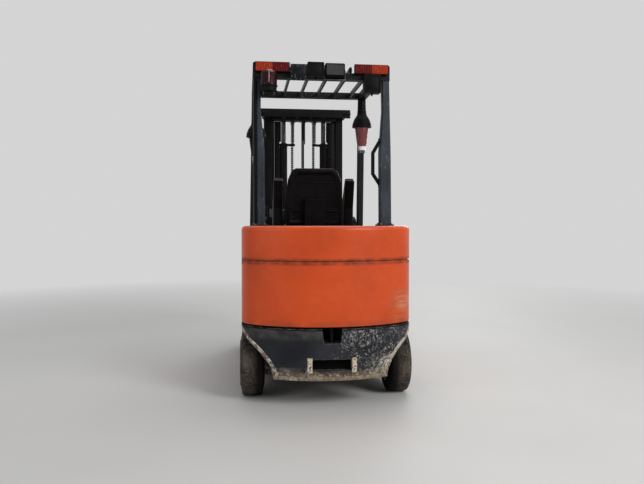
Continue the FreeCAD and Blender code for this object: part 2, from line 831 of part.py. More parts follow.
def front_dome(s):
    x, z = s * dome_x, dome_z if s > 0 else dome_z - dome_drop
    rows = [(0, 0), (0, 74), (22, 76), (60, 62), (95, 40), (130, 33), (dome_h, 31), (dome_h, 0)]
    outline = face_of([V(r, 0, a) for a, r in rows])
    dome = outline.revolve(V(0, 0, 0), Z, 360)
    # the arm that carries the lamp on the pillar in front of it
    arm = block(-dome_arm / 2, dome_arm / 2, 0, dome_reach, dome_h - dome_arm - 20, dome_h - 20)
    dome = fuse(dome, arm)
    dome.translate(V(x, dome_y(z), z))
    return dome


def dome_y(z):
    """Just behind the sloping front pillar at this height."""
    t = (z - 548.0) / (roof_high_z - roof_rail_h - 548.0)
    return front_pillar_foot_y + (front_pillar_top_y - front_pillar_foot_y) * t - dome_reach


def lenses_red():
    lamp = soft_box(lamp_in + 4, lamp_mid - 1, lamp_y0 - lamp_lens_t, lamp_y0, lamp_z0 - 6, lamp_z1 - 6, 5)
    shapes = [mirrored(lamp), lamp]
    rows = [(0, 0), (0, 54), (80, 50), (98, 30), (102, 0)]
    beacon = face_of([V(r, 0, a) for a, r in rows]).revolve(V(0, 0, 0), Z, 360)
    beacon.translate(V(-beacon_x, beacon_y, beacon_lens_z))
    shapes.append(beacon)
    for s in (-1, 1):
        z = dome_z if s > 0 else dome_z - dome_drop
        rows = [(0, 0), (0, lens_top_r), (-lens_h, lens_low_r), (-lens_h, 0)]
        cone = face_of([V(r, 0, a) for a, r in rows]).revolve(V(0, 0, 0), Z, 360)
        cone.translate(V(s * dome_x, dome_y(z), z))
        shapes.append(cone)
    return Part.makeCompound(shapes)


def lenses_amber():
    lamp = soft_box(lamp_mid + 1, lamp_out - 4, lamp_y0 - lamp_lens_t, lamp_y0, lamp_z0 - 6, lamp_z1 - 6, 5)
    return pair(lamp)


def lenses_clear():
    side, rim = work_lens_side, work_lens_rim
    shapes = [soft_box(work_lamp_x0 + side, work_lamp_x1 - side, work_lamp_y - work_lens_t, work_lamp_y,
                       work_lamp_z0 + rim, work_lamp_z1 - rim, 4)]
    for s in (-1, 1):
        z = (dome_z if s > 0 else dome_z - dome_drop) - lens_h
        tip = bar(s * dome_x, dome_y(z + lens_h), z - tip_h, tip_r, tip_h, Z)
        shapes.append(tip)
    return Part.makeCompound(shapes)


def assist_grip():
    """A bent round bar on the inner side of the right rear pillar."""
    r = 12.0
    root_x, grip_x = pillar_face_x - 19, pillar_face_x - 66
    pts = [(root_x, 1640), (grip_x, 1560), (grip_x, 1420), (root_x, 1350)]
    y = rear_pillar_foot_y + 52
    parts = []
    for (xa, za), (xb, zb) in zip(pts, pts[1:]):
        d = V(xb - xa, 0, zb - za)
        parts.append(Part.makeCylinder(r, d.Length, V(xa, y, za), d))
    for xa, za in pts[1:-1]:
        parts.append(Part.makeSphere(r, V(xa, y, za)))
    grip = fuse(parts[0], *parts[1:]).cut(rear_pillar())
    return max(grip.Solids, key=lambda s: s.Volume)


# Controls

wheel_y, wheel_z, wheel_tilt = 1530.0, 1285.0, 25.0


def column_axis():
    a = math.radians(wheel_tilt)
    return V(0, -math.sin(a), math.cos(a))


def steering_column():
    """Boot, tube and shaft, from the top of the cowl to the wheel's hub."""
    d = column_axis()
    top = V(0, wheel_y, wheel_z)
    tube = Part.makeCylinder(32, 220, top - d * 250, d)
    boot = Part.makeCone(66, 36, 120, top - d * 220, d)
    shaft = Part.makeCylinder(11, 42, top - d * 34, d)
    column = fuse(tube, boot, shaft).cut(cowl_hull())
    return max(column.Solids, key=lambda s: s.Volume)


def steering_wheel():
    d = column_axis()
    hub = Part.makeCylinder(36, 26, V(0, 0, 0), Z).cut(Part.makeCylinder(11 + RUN, 9, V(0, 0, -1), Z))
    section = [(168 + 13 * math.cos(math.radians(a)), 34 + 13 * math.sin(math.radians(a)))
               for a in range(0, 360, 45)]
    ring = face_of([V(r, 0, z) for r, z in section]).revolve(V(0, 0, 0), Z, 360)
    parts = [hub, ring]
    for k in range(3):
        a = math.radians(90 + 120 * k)
        x, y = math.cos(a), math.sin(a)
        parts.append(Part.makeCylinder(8, 145, V(30 * x, 30 * y, 15), V(x, y, 0.13)))
    knob = Part.makeCone(17, 21, 34, V(-118.8, 118.8, 46), Z)
    parts.append(knob)
    body = fuse(parts[0], *parts[1:])
    body.rotate(V(0, 0, 0), X, wheel_tilt)
    body.translate(V(0, wheel_y, wheel_z))
    return body


def driver_controls():
    """Three levers and the display pod on the cowl, and the two pedals under it."""
    shapes = []
    y, z = cowl_rear_y + 24, cowl_high_z - 50
    lean = V(0, -0.25, 1)
    for k in range(3):
        x = cowl_half_high - lever_in + lever_pitch * k
        lever = bar(x, y, z, 6, 128, lean)
        knob = Part.makeSphere(19, V(x, y, z) + lean.normalize() * 128)
        boot = Part.makeCone(26, 12, 50, V(x, y, z), lean)
        shapes.append(fuse(lever, knob, boot))
    x0 = display_in - cowl_half_high
    shapes.append(soft_box(x0, x0 + display_w, cowl_rear_y - 10, cowl_rear_y + 32,
                           cowl_high_z - 60, cowl_high_z + 78, 10))
    mat_z = floor_z + floor_t + mat_t
    accelerator_x = cowl_half_low - pedal_out - accelerator_w
    brake_x = accelerator_x - pedal_gap - brake_w
    for x0, x1 in ((brake_x, brake_x + brake_w), (accelerator_x, accelerator_x + accelerator_w)):
        pad = block(x0, x1, 0, 12, 0, 120)
        pad.rotate(V(0, 0, 0), X, -35)
        pad.translate(V(0, cowl_rear_y - 60, mat_z + 26))
        mid = (x0 + x1) / 2
        stem = block(mid - 9, mid + 9, cowl_rear_y - 48, cowl_rear_y + cowl_lean + 4, mat_z + 42, mat_z + 58)
        shapes.append(fuse(pad, stem))
    hull = cowl_hull()
    return Part.makeCompound([max(s.cut(hull).Solids, key=lambda t: t.Volume) for s in shapes])


def drive_axle():
    z = axle_z()
    hub_in = front_tyre_face_x + 20
    motor = bar(motor_in, front_axle_y - 70, z + 6, motor_r, leg_x - motor_gap - motor_in, X)
    drum = bar(hub_in - 10, front_axle_y, z, drum_r, drum_w, X)
    shaft = bar(hub_in, front_axle_y, z, hub_shaft_r, front_track_half + 44 - hub_in, X)
    parts = [bar(-hub_in, front_axle_y, z, axle_tube_r, 2 * hub_in, X)]
    for one in (motor, drum, shaft):
        parts += [one, mirrored(one)]
    return fuse(parts[0], *parts[1:])


# Hood and seat, which lift together

def hood():
    y0, y1 = hood_rear_y, bay_front_y + 4
    body = block(-hood_half, hood_half, y0, y1, hood_low_z, hood_high_z)
    body = rounded(body, hood_corner_r, lambda e: along(e, Z) and e.BoundBox.YMax > y1 - 1)
    body = rounded(body, 18, lambda e: e.BoundBox.ZMin > hood_high_z - 0.1 and e.BoundBox.YMin > y0 - 1
                   and not (abs(e.BoundBox.YMax - y0) < 1))
    room = block(-hood_half + hood_wall, hood_half - hood_wall, y0 + hood_wall, y1 - hood_wall,
                 hood_low_z - REACH, hood_high_z - hood_wall)
    knuckles = [bar(x - hinge_w / 2, y0, hood_high_z, hinge_r, hinge_w, X) for x in (-hinge_x, hinge_x)]
    return fuse(body.cut(room), *knuckles)


def seat_base():
    z0 = hood_high_z + FIT
    z1 = z0 + 20
    lower = loft([(-seat_half + 14, seat_half - 14, seat_rear_y - 24, seat_front_y - 24, z0, 16),
                  (-seat_half, seat_half, seat_rear_y - 40, seat_front_y, z1, 16)])
    upper = block(-seat_half, seat_half, seat_rear_y - 40, seat_front_y, z1, seat_base_high_z)
    lower = lower.fuse(rounded(upper, 24, lambda e: along(e, Z)))
    bracket = placed_back(block(-70, 70, -30, -FIT, seat_base_high_z - 24 - back_low_z, 190))
    lower.translate(V(seat_x, 0, 0))
    return fuse(lower, bracket)


def placed_back(shape):
    """Lean a piece back and set it at the foot of the backrest."""
    shape.rotate(V(0, 0, 0), X, back_lean)
    shape.translate(V(seat_x, seat_rear_y - 10, back_low_z))
    return shape


def seat_cushion():
    z0 = seat_base_high_z + FIT
    body = block(seat_x - seat_half + 6, seat_x + seat_half - 6, seat_rear_y + 82, seat_front_y + 6,
                 z0, z0 + cushion_t)
    return rounded(body, 28, lambda e: e.BoundBox.ZMin > z0 + 1)


def seat_back():
    """A padded back that leans to the rear, narrower at its top."""
    h = back_high_z - back_low_z
    pts = [(-back_half, 0), (back_half, 0), (back_half + 4, h * 0.35), (back_half - 14, h * 0.8),
           (back_half - 70, h), (-back_half + 70, h), (-back_half + 14, h * 0.8), (-back_half - 4, h * 0.35)]
    body = prism_y(pts, 0, back_t)
    return placed_back(rounded(body, 26, lambda e: not along(e, Y)))


def hip_restraints():
    """A moulded wing on each side of the seat, on a foot that bears on the seat's base."""
    x0 = restraint_x
    y, z = seat_rear_y, seat_base_high_z
    pts = [(y + 40, z - 30), (y + 190, z - 30), (y + 230, z + 150), (y + 120, z + 270), (y + 10, z + 400),
           (y - 30, z + 380), (y + 30, z + 190)]
    wing = prism_x(pts, x0, x0 + restraint_t)
    wing = rounded(wing, 12, lambda e: not along(e, X))
    foot = block(seat_half + FIT, x0 + 12, y + 60, y + 160, z - 30, z - 6)
    both = pair(fuse(wing, foot))
    both.translate(V(seat_x, 0, 0))
    return both


# Mast

def outer_rail():
    """Channel section, open towards the truck's middle."""
    x1, x0 = mast_half, mast_half - outer_w
    y0, y1 = outer_y, outer_y + outer_d
    f, w = outer_flange, outer_web
    pts = [(x0, y0), (x1, y0), (x1, y1), (x0, y1), (x0, y1 - f), (x1 - w, y1 - f),
           (x1 - w, y0 + f), (x0, y0 + f)]
    return prism_z(pts, outer_low_z, outer_high_z)


def mast_outer():
    rail = outer_rail()
    lug_x0, lug_x1 = leg_x + leg_t + CLEAR, mast_half - CLEAR
    lug = prism_x([(pivot_y, pivot_z - 40), (outer_y + 10, outer_low_z + 10), (outer_y + 10, pivot_z + 110),
                   (pivot_y - 20, pivot_z + 34)], lug_x0, lug_x1)
    boss = bar(lug_x0, pivot_y, pivot_z, 38, lug_x1 - lug_x0, X)
    side = fuse(rail, lug, boss)
    pin = bar(leg_x - 14, pivot_y, pivot_z, pivot_pin_r, lug_x1 - leg_x + 14, X)
    side = fuse(side, pin)
    # clevis for the tilt rod's eye on the back of the rail
    ear_in = tilt_x - tilt_eye_w / 2 - CLEAR
    ear_out = tilt_x + tilt_eye_w / 2 + CLEAR
    y, z = tilt_front_y, tilt_front_z
    for a, b in ((ear_in - 10, ear_in), (ear_out, ear_out + 8)):
        ear = prism_x([(outer_y + 4, z - 60), (y - 10, z - 22), (y - 22, z), (y - 10, z + 22),
                       (outer_y + 4, z + 60)], a, b)
        side = fuse(side, ear)
    web = block(ear_in - 10, ear_out + 8, outer_y, outer_y + 10, z - 60, z + 60)
    side = fuse(side, web, bar(ear_in - 10, y, z, tilt_pin_r, ear_out - ear_in + 18, X))
    parts = [side, mirrored(side)]
    # ties that go round behind the lift cylinders and the inner mast's own tie
    tie_y = inner_tie_y() - tie_gap
    for z0, half in ((tie_low_z, mast_half + 16), (outer_high_z - tie_h, tie_half)):
        parts.append(block(-half, half, tie_y - tie_t, tie_y, z0, z0 + tie_h))
        for s in (-1, 1):
            x0, x1 = sorted((s * mast_half, s * (mast_half + 16)))
            parts.append(block(x0, x1, tie_y - tie_t, outer_y + 60, z0, z0 + tie_h))
    # foot plate under the inner rails, with a shelf for the cylinders
    foot_y = pivot_y + 36 + CLEAR
    parts.append(block(-mast_half, mast_half, foot_y, outer_y + outer_d, outer_low_z, lift_foot_z))
    shelf = lift_x + lift_barrel_r + 8
    parts.append(block(-shelf, shelf, lift_y - lift_barrel_r - 4, foot_y + 1, outer_low_z, lift_foot_z))
    return fuse(parts[0], *parts[1:])


def inner_tie_y():
    """Back of the inner mast's tie: it goes round behind the lift cylinders."""
    return lift_y - lift_barrel_r - 8 - inner_tie_t


def chain_rear_y():
    return sheave_y - sheave_r - RUN - chain_t / 2


def chain_front_y():
    return sheave_y + sheave_r + RUN + chain_t / 2


def outer_rollers():
    """The roller at the top of each outer rail, which the inner rail's outer channel runs on."""
    r = (inner_d - 2 * inner_flange) / 2 - ROLL
    x0 = inner_web_x + inner_web + 3
    z = outer_high_z - 70
    roller = bar(x0, track_y, z, r, roller_w - 6, X)
    pin = bar(x0 + 4, track_y, z, roller_pin_r, mast_half - outer_web - x0 - 4 - FIT, X)
    return pair(fuse(roller, pin))


def lift_barrels():
    z0, z1 = lift_foot_z + FIT, barrel_top_z
    body = bar(lift_x, lift_y, z0, lift_barrel_r, z1 - z0, Z)
    gland = bar(lift_x, lift_y, z1 - 1, lift_barrel_r + 2, 24, Z)
    anchor = block(sheave_x - chain_w / 2 - 6, lift_x, inner_tie_y() + inner_tie_t + 6, lift_y,
                   z1 + 2, z1 + 20)
    body = fuse(body, gland, anchor)
    body = body.cut(bar(lift_x, lift_y, z0 + 20, lift_bore_r, z1 - z0 - 24, Z))
    body = body.cut(bar(lift_x, lift_y, z1 - 30, lift_rod_r + RUN, 60, Z))
    return pair(body)


def chain_anchor_z():
    return barrel_top_z + 20 + FIT


def inner_rail():
    """I section: its outer half runs inside the outer channel, its inner half guides the carriage."""
    xw0, xw1 = inner_web_x, inner_web_x + inner_web
    x1, x0 = xw1 + inner_out, xw0 - inner_in
    y0, y1, f = inner_y, inner_y + inner_d, inner_flange
    pts = [(x0, y0), (x1, y0), (x1, y0 + f), (xw1, y0 + f), (xw1, y1 - f), (x1, y1 - f), (x1, y1), (x0, y1),
           (x0, y1 - f), (xw0, y1 - f), (xw0, y0 + f), (x0, y0 + f)]
    rail = prism_z(pts, inner_low_z, inner_high_z)
    # the outer flanges stop above the bottom roller
    return rail.cut(block(xw1, x1 + REACH, y0 - REACH, y1 + REACH, inner_low_z - REACH, inner_low_z + 125))


def mast_inner():
    rail = inner_rail()
    parts = [rail, mirrored(rail)]
    half = mast_half - outer_w - CLEAR - 2
    ty = inner_tie_y()
    parts.append(block(-half, half, ty, plate_rear_y - CLEAR - 1, sheave_z - 22, sheave_z + 42))
    z0, z1 = inner_tie_z, inner_tie_z + inner_tie_h
    parts.append(block(-half, half, ty, ty + inner_tie_t, z0, z1))
    for s in (-1, 1):
        xa, xb = sorted((s * (half - 20), s * half))
        parts.append(block(xa, xb, ty, inner_y + 1, z0, z1))
    for x in sheave_places():
        for e in (-1, 1):
            c = x + e * (sheave_w / 2 + 4 + 5)
            parts.append(block(c - 5, c + 5, inner_y - 20, sheave_y + 22, sheave_z - 22, sheave_z + 30))
    body = fuse(parts[0], *parts[1:])
    for c in sheave_places():
        body = body.cut(block(c - sheave_w / 2 - 4, c + sheave_w / 2 + 4, ty + inner_tie_t, plate_rear_y,
                              sheave_z - 30, sheave_z + 50))
        body = body.cut(bar(c - 40, sheave_y, sheave_z, sheave_pin_r + FIT, 80, X))
    for x in (-lift_x, lift_x):
        body = body.cut(bar(x, lift_y, sheave_z - 30, lift_rod_r - 6 + FIT, 80, Z))
    return body


def inner_rollers():
    """Bottom rollers that run in the outer rails, and the two chain sheaves on their pins."""
    r = (outer_d - 2 * outer_flange) / 2 - ROLL
    x0 = inner_web_x + inner_web + FIT
    z = inner_low_z + 62
    roller = bar(x0 + 2, track_y, z, r, roller_w - 4, X)
    hub = bar(x0, track_y, z, 24, 8, X)
    shapes = [fuse(roller, hub)]
    groove = [(-sheave_w / 2, 0), (-sheave_w / 2, sheave_r + 5), (-sheave_w / 2 + 2, sheave_r + 5),
              (-sheave_w / 2 + 2.5, sheave_r), (sheave_w / 2 - 2.5, sheave_r),
              (sheave_w / 2 - 2, sheave_r + 5),
              (sheave_w / 2, sheave_r + 5), (sheave_w / 2, 0)]
    both = [s for one in shapes for s in (one, mirrored(one))]
    for x in sheave_places():
        pin = bar(x - 30, sheave_y, sheave_z, sheave_pin_r, 60, X)
        both.append(fuse(turned(groove, x, sheave_y, sheave_z), pin))
    return Part.makeCompound(both)


def mast_hoses():
    """Two hoses side by side over the middle sheave: rear run, half turn and front run."""
    r = sheave_r + RUN + hose_r
    shapes = []
    for x in (-hose_x / 2, hose_x / 2):
        rear = bar(x, sheave_y - r, chain_anchor_z(), hose_r, sheave_z - chain_anchor_z(), Z)
        front = bar(x, sheave_y + r, chain_low_z(), hose_r, sheave_z - chain_low_z(), Z)
        ring = Part.makeTorus(r, hose_r, V(x, sheave_y, sheave_z), X)
        over = ring.common(block(x - 50, x + 50, sheave_y - 2 * r, sheave_y + 2 * r,
                                 sheave_z, sheave_z + 2 * r))
        shapes.append(fuse(rear, over, front))
    return Part.makeCompound(shapes)


def sheave_places():
    """X of the two chain sheaves and of the hose sheave between them."""
    return (-sheave_x, 0.0, sheave_x)


def lift_chain():
    """One leaf chain: rear run, half turn over the sheave, front run and its anchor bolt."""
    x0, x1 = sheave_x - chain_w / 2, sheave_x + chain_w / 2
    ya, yb = chain_rear_y(), chain_front_y()
    t = chain_t / 2
    rear = block(x0, x1, ya - t, ya + t, chain_anchor_z(), sheave_z)
    front = block(x0, x1, yb - t, yb + t, chain_low_z(), sheave_z)
    over = bar(x0, sheave_y, sheave_z, sheave_r + RUN + chain_t, chain_w, X)
    over = over.cut(bar(x0 - REACH, sheave_y, sheave_z, sheave_r + RUN, chain_w + 2 * REACH, X))
    over = over.cut(block(x0 - REACH, x1 + REACH, ya - 100, yb + 100, sheave_z - 200, sheave_z))
    bolt = bar(sheave_x, yb, chain_low_z() - 60, 8, 62, Z)
    nut = bar(sheave_x, yb, chain_low_z() - 60, 14, 14, Z)
    return fuse(rear, over, front, bolt, nut)


def chain_low_z():
    return chain_bracket_z() + 34


def chain_bracket_z():
    return plate_high_z - 96


def lift_rods():
    z0 = lift_foot_z + 34
    top = sheave_z - 22
    rod = bar(lift_x, lift_y, z0, lift_rod_r, top - z0 - FIT, Z)
    neck = bar(lift_x, lift_y, top - 10, lift_rod_r - 6, 64 + 22, Z)
    nut = bar(lift_x, lift_y, top + 64 + FIT, 26, 14, Z)
    return pair(fuse(rod, neck, nut))


# Carriage and forks

def carriage():
    y1 = carriage_front_y
    y0 = y1 - bar_plate_t
    z0, z1 = carriage_low_z, carriage_low_z + carriage_height
    parts = []
    low = block(-carriage_half, carriage_half, y0, y1, z0, z0 + carriage_bar_h)
    high = block(-carriage_half, carriage_half, y0, y1, z1 - carriage_bar_h, z1)
    for s in (-1, 1):
        x0, x1 = sorted((s * (plate_x - plate_t), s * plate_x))
        plate = prism_x([(plate_rear_y, plate_low_z), (outer_y + outer_d, plate_low_z), (y0 - 40, z0 + 20),
                         (y0, z0 + 20), (y0, z1 + 20), (plate_rear_y + 80, plate_high_z),
                         (plate_rear_y, plate_high_z)], x0, x1)
        parts.append(plate)
        xa, xb = sorted((s * (sheave_x - 26), s * (sheave_x + 26)))
        bz = chain_bracket_z()
        lug = block(xa, xb, chain_front_y() - 20, y0, bz - 26, bz)
        slot = block(s * sheave_x - chain_w / 2 - 6, s * sheave_x + chain_w / 2 + 6, chain_front_y() - 30,
                     chain_front_y() + chain_t / 2 + 7, bz - 40, bz + 10)
        parts.append(lug.cut(slot))
    parts.append(block(-plate_x + 2, plate_x - 2, y0 - 24, y0, z1 - carriage_bar_h - 40, z1 - 10))
    # notches along the top bar, one place per fork step
    body = fuse(low, high, *parts)
    for k in range(9):
        x = (k - 4) * 100.0
        if abs(x) < 30:
            body = body.cut(block(x - 45, x + 45, y0 - 40, y1 + REACH, z0 - REACH, z0 + 30))
        else:
            body = body.cut(block(x - 7, x + 7, y0 + 8, y1 + REACH, z1 - 12, z1 + REACH))
    return body


def carriage_rollers():
    """Two rollers a side that run in the inner rails."""
    r = (inner_d - 2 * inner_flange) / 2 - ROLL
    x0 = plate_x + FIT
    shapes = []
    for z in (plate_low_z + 60, plate_high_z - 50):
        roller = bar(x0 + 5, track_y, z, r, inner_web_x - x0 - 5 - 3, X)
        hub = bar(x0, track_y, z, 18, 12, X)
        one = fuse(roller, hub)
        shapes += [one, mirrored(one)]
    return Part.makeCompound(shapes)


def fork():
    """An L-shaped fork with a tapered blade and the two hooks that hold it on the bars."""
    z0 = fork_floor
    zt = z0 + fork_t
    y0 = carriage_front_y + FIT
    y1 = fork_face_y
    bar_low, bar_high = carriage_low_z, carriage_low_z + carriage_height
    tip = overall_length
    side = [(y0, z0 + 26), (y0 + 26, z0), (tip - 14, z0), (tip, z0 + 3), (tip, z0 + fork_tip_t - 3),
            (tip - 14, z0 + fork_tip_t), (y1 + 300, zt), (y1 + 12, zt), (y1, zt + 12),
            (y1, bar_high - 120), (y1 - 8, bar_high + hook_h + 4),
            (y0 - bar_plate_t / 2 - 6, bar_high + hook_h + 4),
            (y0 - bar_plate_t / 2 - 6, bar_high + FIT), (y0, bar_high + FIT)]
    body = prism_x(side, -fork_w / 2, fork_w / 2)
    hook_y = y0 - bar_plate_t / 2
    lower = prism_x([(y0 + 2, bar_low - FIT), (hook_y, bar_low - FIT), (hook_y, bar_low - FIT - 16),
                     (y0 + 2, bar_low - FIT - 22)], -fork_w / 2, fork_w / 2)
    body = fuse(body, lower)
    # the tip is rounded in plan
    k = 34.0
    for s in (-1, 1):
        edge, past = s * fork_w / 2, s * (fork_w / 2 + 5)
        corner = prism_z([(edge, tip - k * 2.4), (past, tip - k * 2.4), (past, tip + 5),
                          (s * (fork_w / 2 - k), tip + 5), (s * (fork_w / 2 - k), tip),
                          (s * (fork_w / 2 - k * 0.4), tip - k * 0.7)], z0 - REACH, z0 + fork_t + REACH)
        body = body.cut(corner)
    body.translate(V(fork_x, 0, 0))
    return body


def load_backrest():
    y1 = carriage_front_y - bar_plate_t - FIT
    z0 = carriage_low_z + carriage_height - carriage_bar_h + 10
    z1 = backrest_high_z
    b = backrest_bar
    half = carriage_half
    yb = y1 - 24
    parts = [block(-half, half, yb, y1, z1 - 40, z1)]
    for k in range(backrest_bars):
        x = -half + b / 2 + k * (2 * half - b) / (backrest_bars - 1)
        parts.append(block(x - b / 2, x + b / 2, yb, y1, z0 + 130, z1 - 20))
    parts.append(block(-half, half, yb, y1, z0 + 110, z0 + 150))
    for s in (-1, 1):
        xa, xb = sorted((s * (half - 90), s * half))
        parts.append(block(xa, xb, yb, y1, z0, z0 + 130))
    return fuse(parts[0], *parts[1:])


# Tilt cylinders

def tilt_axis():
    d = V(0, tilt_front_y - tilt_rear_y, tilt_front_z - tilt_rear_z)
    return d.normalize(), math.hypot(tilt_front_y - tilt_rear_y, tilt_front_z - tilt_rear_z)


def tilt_barrel():
    d, length = tilt_axis()
    rear = V(tilt_x, tilt_rear_y, tilt_rear_z)
    eye = bar(tilt_x - tilt_eye_w / 2, tilt_rear_y, tilt_rear_z, tilt_eye_r, tilt_eye_w, X)
    start = tilt_barrel_start
    tube = Part.makeCylinder(tilt_barrel_r, tilt_barrel_length, rear + d * start, d)
    neck = Part.makeCylinder(tilt_neck_r, start - 4, rear + d * 12, d)
    body = fuse(tube, neck, eye)
    body = body.cut(Part.makeCylinder(tilt_rod_r + RUN, tilt_barrel_length, rear + d * (start + 26), d))
    body = body.cut(bar(tilt_x - 40, tilt_rear_y, tilt_rear_z, tilt_pin_r + RUN, 80, X))
    return pair(body)


def tilt_rod():
    d, length = tilt_axis()
    front = V(tilt_x, tilt_front_y, tilt_front_z)
    end = tilt_barrel_start + tilt_eye_r
    rod = Part.makeCylinder(tilt_rod_r, length - end - 60, front - d * (length - end - 48), d)
    eye = bar(tilt_x - tilt_eye_w / 2, tilt_front_y, tilt_front_z, tilt_eye_r, tilt_eye_w, X)
    body = fuse(rod, eye)
    body = body.cut(bar(tilt_x - 40, tilt_front_y, tilt_front_z, tilt_pin_r + tilt_slack, 80, X))
    return pair(body)


# The pieces, node by node

def build():
    pillars = [s for one in (rear_pillar(), front_pillar()) for s in (one, mirrored(one))]
    nodes = {
        "counterweight": counterweight(),
        "counterweight_base": counterweight_base(),
        "drawbar_pin": drawbar_pin(),
        "frame": frame(),
        "battery": battery(),
        "side_panels": pair(side_panel()),
        "floor_plate": floor_plate(),
        "floor_mat": floor_mat(),
        "fenders": pair(fender()),
        "cowl": cowl(),
        "dashboard": dashboard(),
        "steering_column": steering_column(),
        "steering_wheel": steering_wheel(),
        "driver_controls": driver_controls(),
        "drive_axle": drive_axle(),
        "steer_axle": steer_axle(),
        "steer_rod": steer_rod(),
        "guard_pillars": Part.makeCompound(pillars),
        "guard_roof": guard_roof(),
        "lamp_housings": lamp_housings(),
        "lenses_red": lenses_red(),
        "lenses_amber": lenses_amber(),
        "lenses_clear": lenses_clear(),
        "assist_grip": assist_grip(),
        "hood": hood(),
        "seat_base": seat_base(),
        "seat_cushion": seat_cushion(),
        "seat_back": seat_back(),
        "hip_restraints": hip_restraints(),
        "mast_outer": mast_outer(),
        "outer_rollers": outer_rollers(),
        "lift_barrels": lift_barrels(),
        "mast_inner": mast_inner(),
        "inner_rollers": inner_rollers(),
        "lift_chains": pair(lift_chain()),
        "mast_hoses": mast_hoses(),
        "lift_rods": lift_rods(),
        "carriage": carriage(),
        "carriage_rollers": carriage_rollers(),
        "forks": pair(fork()),
        "load_backrest": load_backrest(),
        "tilt_barrels": tilt_barrel(),
        "tilt_rods": tilt_rod(),
    }
    sides = (("left", -1), ("right", 1))
    # end, track half width, axle y, tyre radius, width, rim radius,
    # shaft radius, disc in, disc out, holes, hole radius
    ends = (("rear", rear_track_half, rear_axle_y, rear_tyre_r, rear_tyre_w, rear_rim_r,
             spindle_r, 22.0, 38.0, 5, 13.0),
            ("front", front_track_half, front_axle_y, front_tyre_r, front_tyre_w, front_rim_r,
             hub_shaft_r, 26.0, 44.0, 8, 16.0))
    for name, s in sides:
        nodes["knuckle_" + name] = knuckle(s)
        for end, track, ay, r, w, bore, shaft, d_in, d_out, holes, hole_r in ends:
            nodes[end + "_tyre_" + name] = tyre(s, track, ay, r, w, bore)
            nodes[end + "_wheel_" + name] = wheel(s, track, ay, r, w, bore, shaft, d_in, d_out, holes, hole_r)
    return nodes


def main():
    os.makedirs("parts", exist_ok=True)
    for name, shape in build().items():
        shape.translate(V(0, -overall_length / 2, 0))
        solids = shape.Solids
        ok = all(s.isValid() and s.Volume > 0 for s in solids) and len(solids) > 0
        bb = shape.BoundBox
        print("%-20s solids %d valid %s  x %7.1f %7.1f  y %7.1f %7.1f  z %7.1f %7.1f" %
              (name, len(solids), ok, bb.XMin, bb.XMax, bb.YMin, bb.YMax, bb.ZMin, bb.ZMax))
        shape.exportStep("parts/" + name + ".step")


main()
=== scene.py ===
"""Looks of an electric counterbalance truck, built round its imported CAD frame.

Sizes in the classes are millimetres in the truck's own frame: X to the driver's right, Y forward from the
rearmost point of the counterweight, Z up from the floor. `metres` turns them into the frame's metres.
"""

import logging
import math
import random
from dataclasses import dataclass, field
from enum import Enum
from typing import Callable, Iterable, Optional, Sequence, Union

import bmesh
import bpy
from mathutils import Matrix, Vector


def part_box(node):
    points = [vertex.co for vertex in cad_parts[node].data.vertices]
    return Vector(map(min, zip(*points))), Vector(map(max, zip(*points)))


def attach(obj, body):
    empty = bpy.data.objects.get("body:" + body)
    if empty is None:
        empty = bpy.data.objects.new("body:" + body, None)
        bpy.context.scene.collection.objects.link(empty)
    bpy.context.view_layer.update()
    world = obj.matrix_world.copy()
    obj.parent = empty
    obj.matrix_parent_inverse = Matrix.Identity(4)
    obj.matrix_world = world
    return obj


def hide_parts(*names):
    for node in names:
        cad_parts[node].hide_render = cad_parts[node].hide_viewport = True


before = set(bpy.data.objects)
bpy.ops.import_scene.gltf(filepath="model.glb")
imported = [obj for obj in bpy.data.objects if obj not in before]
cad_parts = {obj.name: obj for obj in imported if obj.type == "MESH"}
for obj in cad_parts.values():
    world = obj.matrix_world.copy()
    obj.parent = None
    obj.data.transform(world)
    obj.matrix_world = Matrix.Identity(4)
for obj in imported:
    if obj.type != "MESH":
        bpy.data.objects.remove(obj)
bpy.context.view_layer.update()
HALF_LENGTH = -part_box("counterweight")[0].y
MM = 0.001
LOG = logging.getLogger("truck")
X, Y, Z = Vector((1, 0, 0)), Vector((0, 1, 0)), Vector((0, 0, 1))
Point = Union[Vector, Sequence[float]]
Value = Union[float, tuple, bpy.types.NodeSocket]


class Body(Enum):
    """The moving bodies of the frame that pieces ride on."""

    CHASSIS = "chassis"
    HOOD = "hood"
    STEERING_WHEEL = "steering_wheel"
    MAST_OUTER = "mast_outer"
    MAST_INNER = "mast_inner"
    CARRIAGE = "carriage"
    TILT_BARRELS = "tilt_barrels"
    TILT_RODS = "tilt_rods"
    KNUCKLE_LEFT = "knuckle_left"
    KNUCKLE_RIGHT = "knuckle_right"
    REAR_WHEEL_LEFT = "rear_wheel_left"
    REAR_WHEEL_RIGHT = "rear_wheel_right"
    FRONT_WHEEL_LEFT = "front_wheel_left"
    FRONT_WHEEL_RIGHT = "front_wheel_right"


def metres(x: float, y: float, z: float) -> Vector:
    """Turn a point in truck millimetres into the frame's metres."""
    return Vector((x * MM, y * MM - HALF_LENGTH, z * MM))


def linear(hex_colour: str) -> tuple:
    """Turn an sRGB hex colour into linear red, green, blue and alpha.

    Args:
        hex_colour: six hex digits after a hash.

    Returns:
        Four floats, alpha last.
    """
    parts = [int(hex_colour[i:i + 2], 16) / 255 for i in (1, 3, 5)]
    return tuple(c / 12.92 if c <= 0.04045 else ((c + 0.055) / 1.055) ** 2.4 for c in parts) + (1.0,)


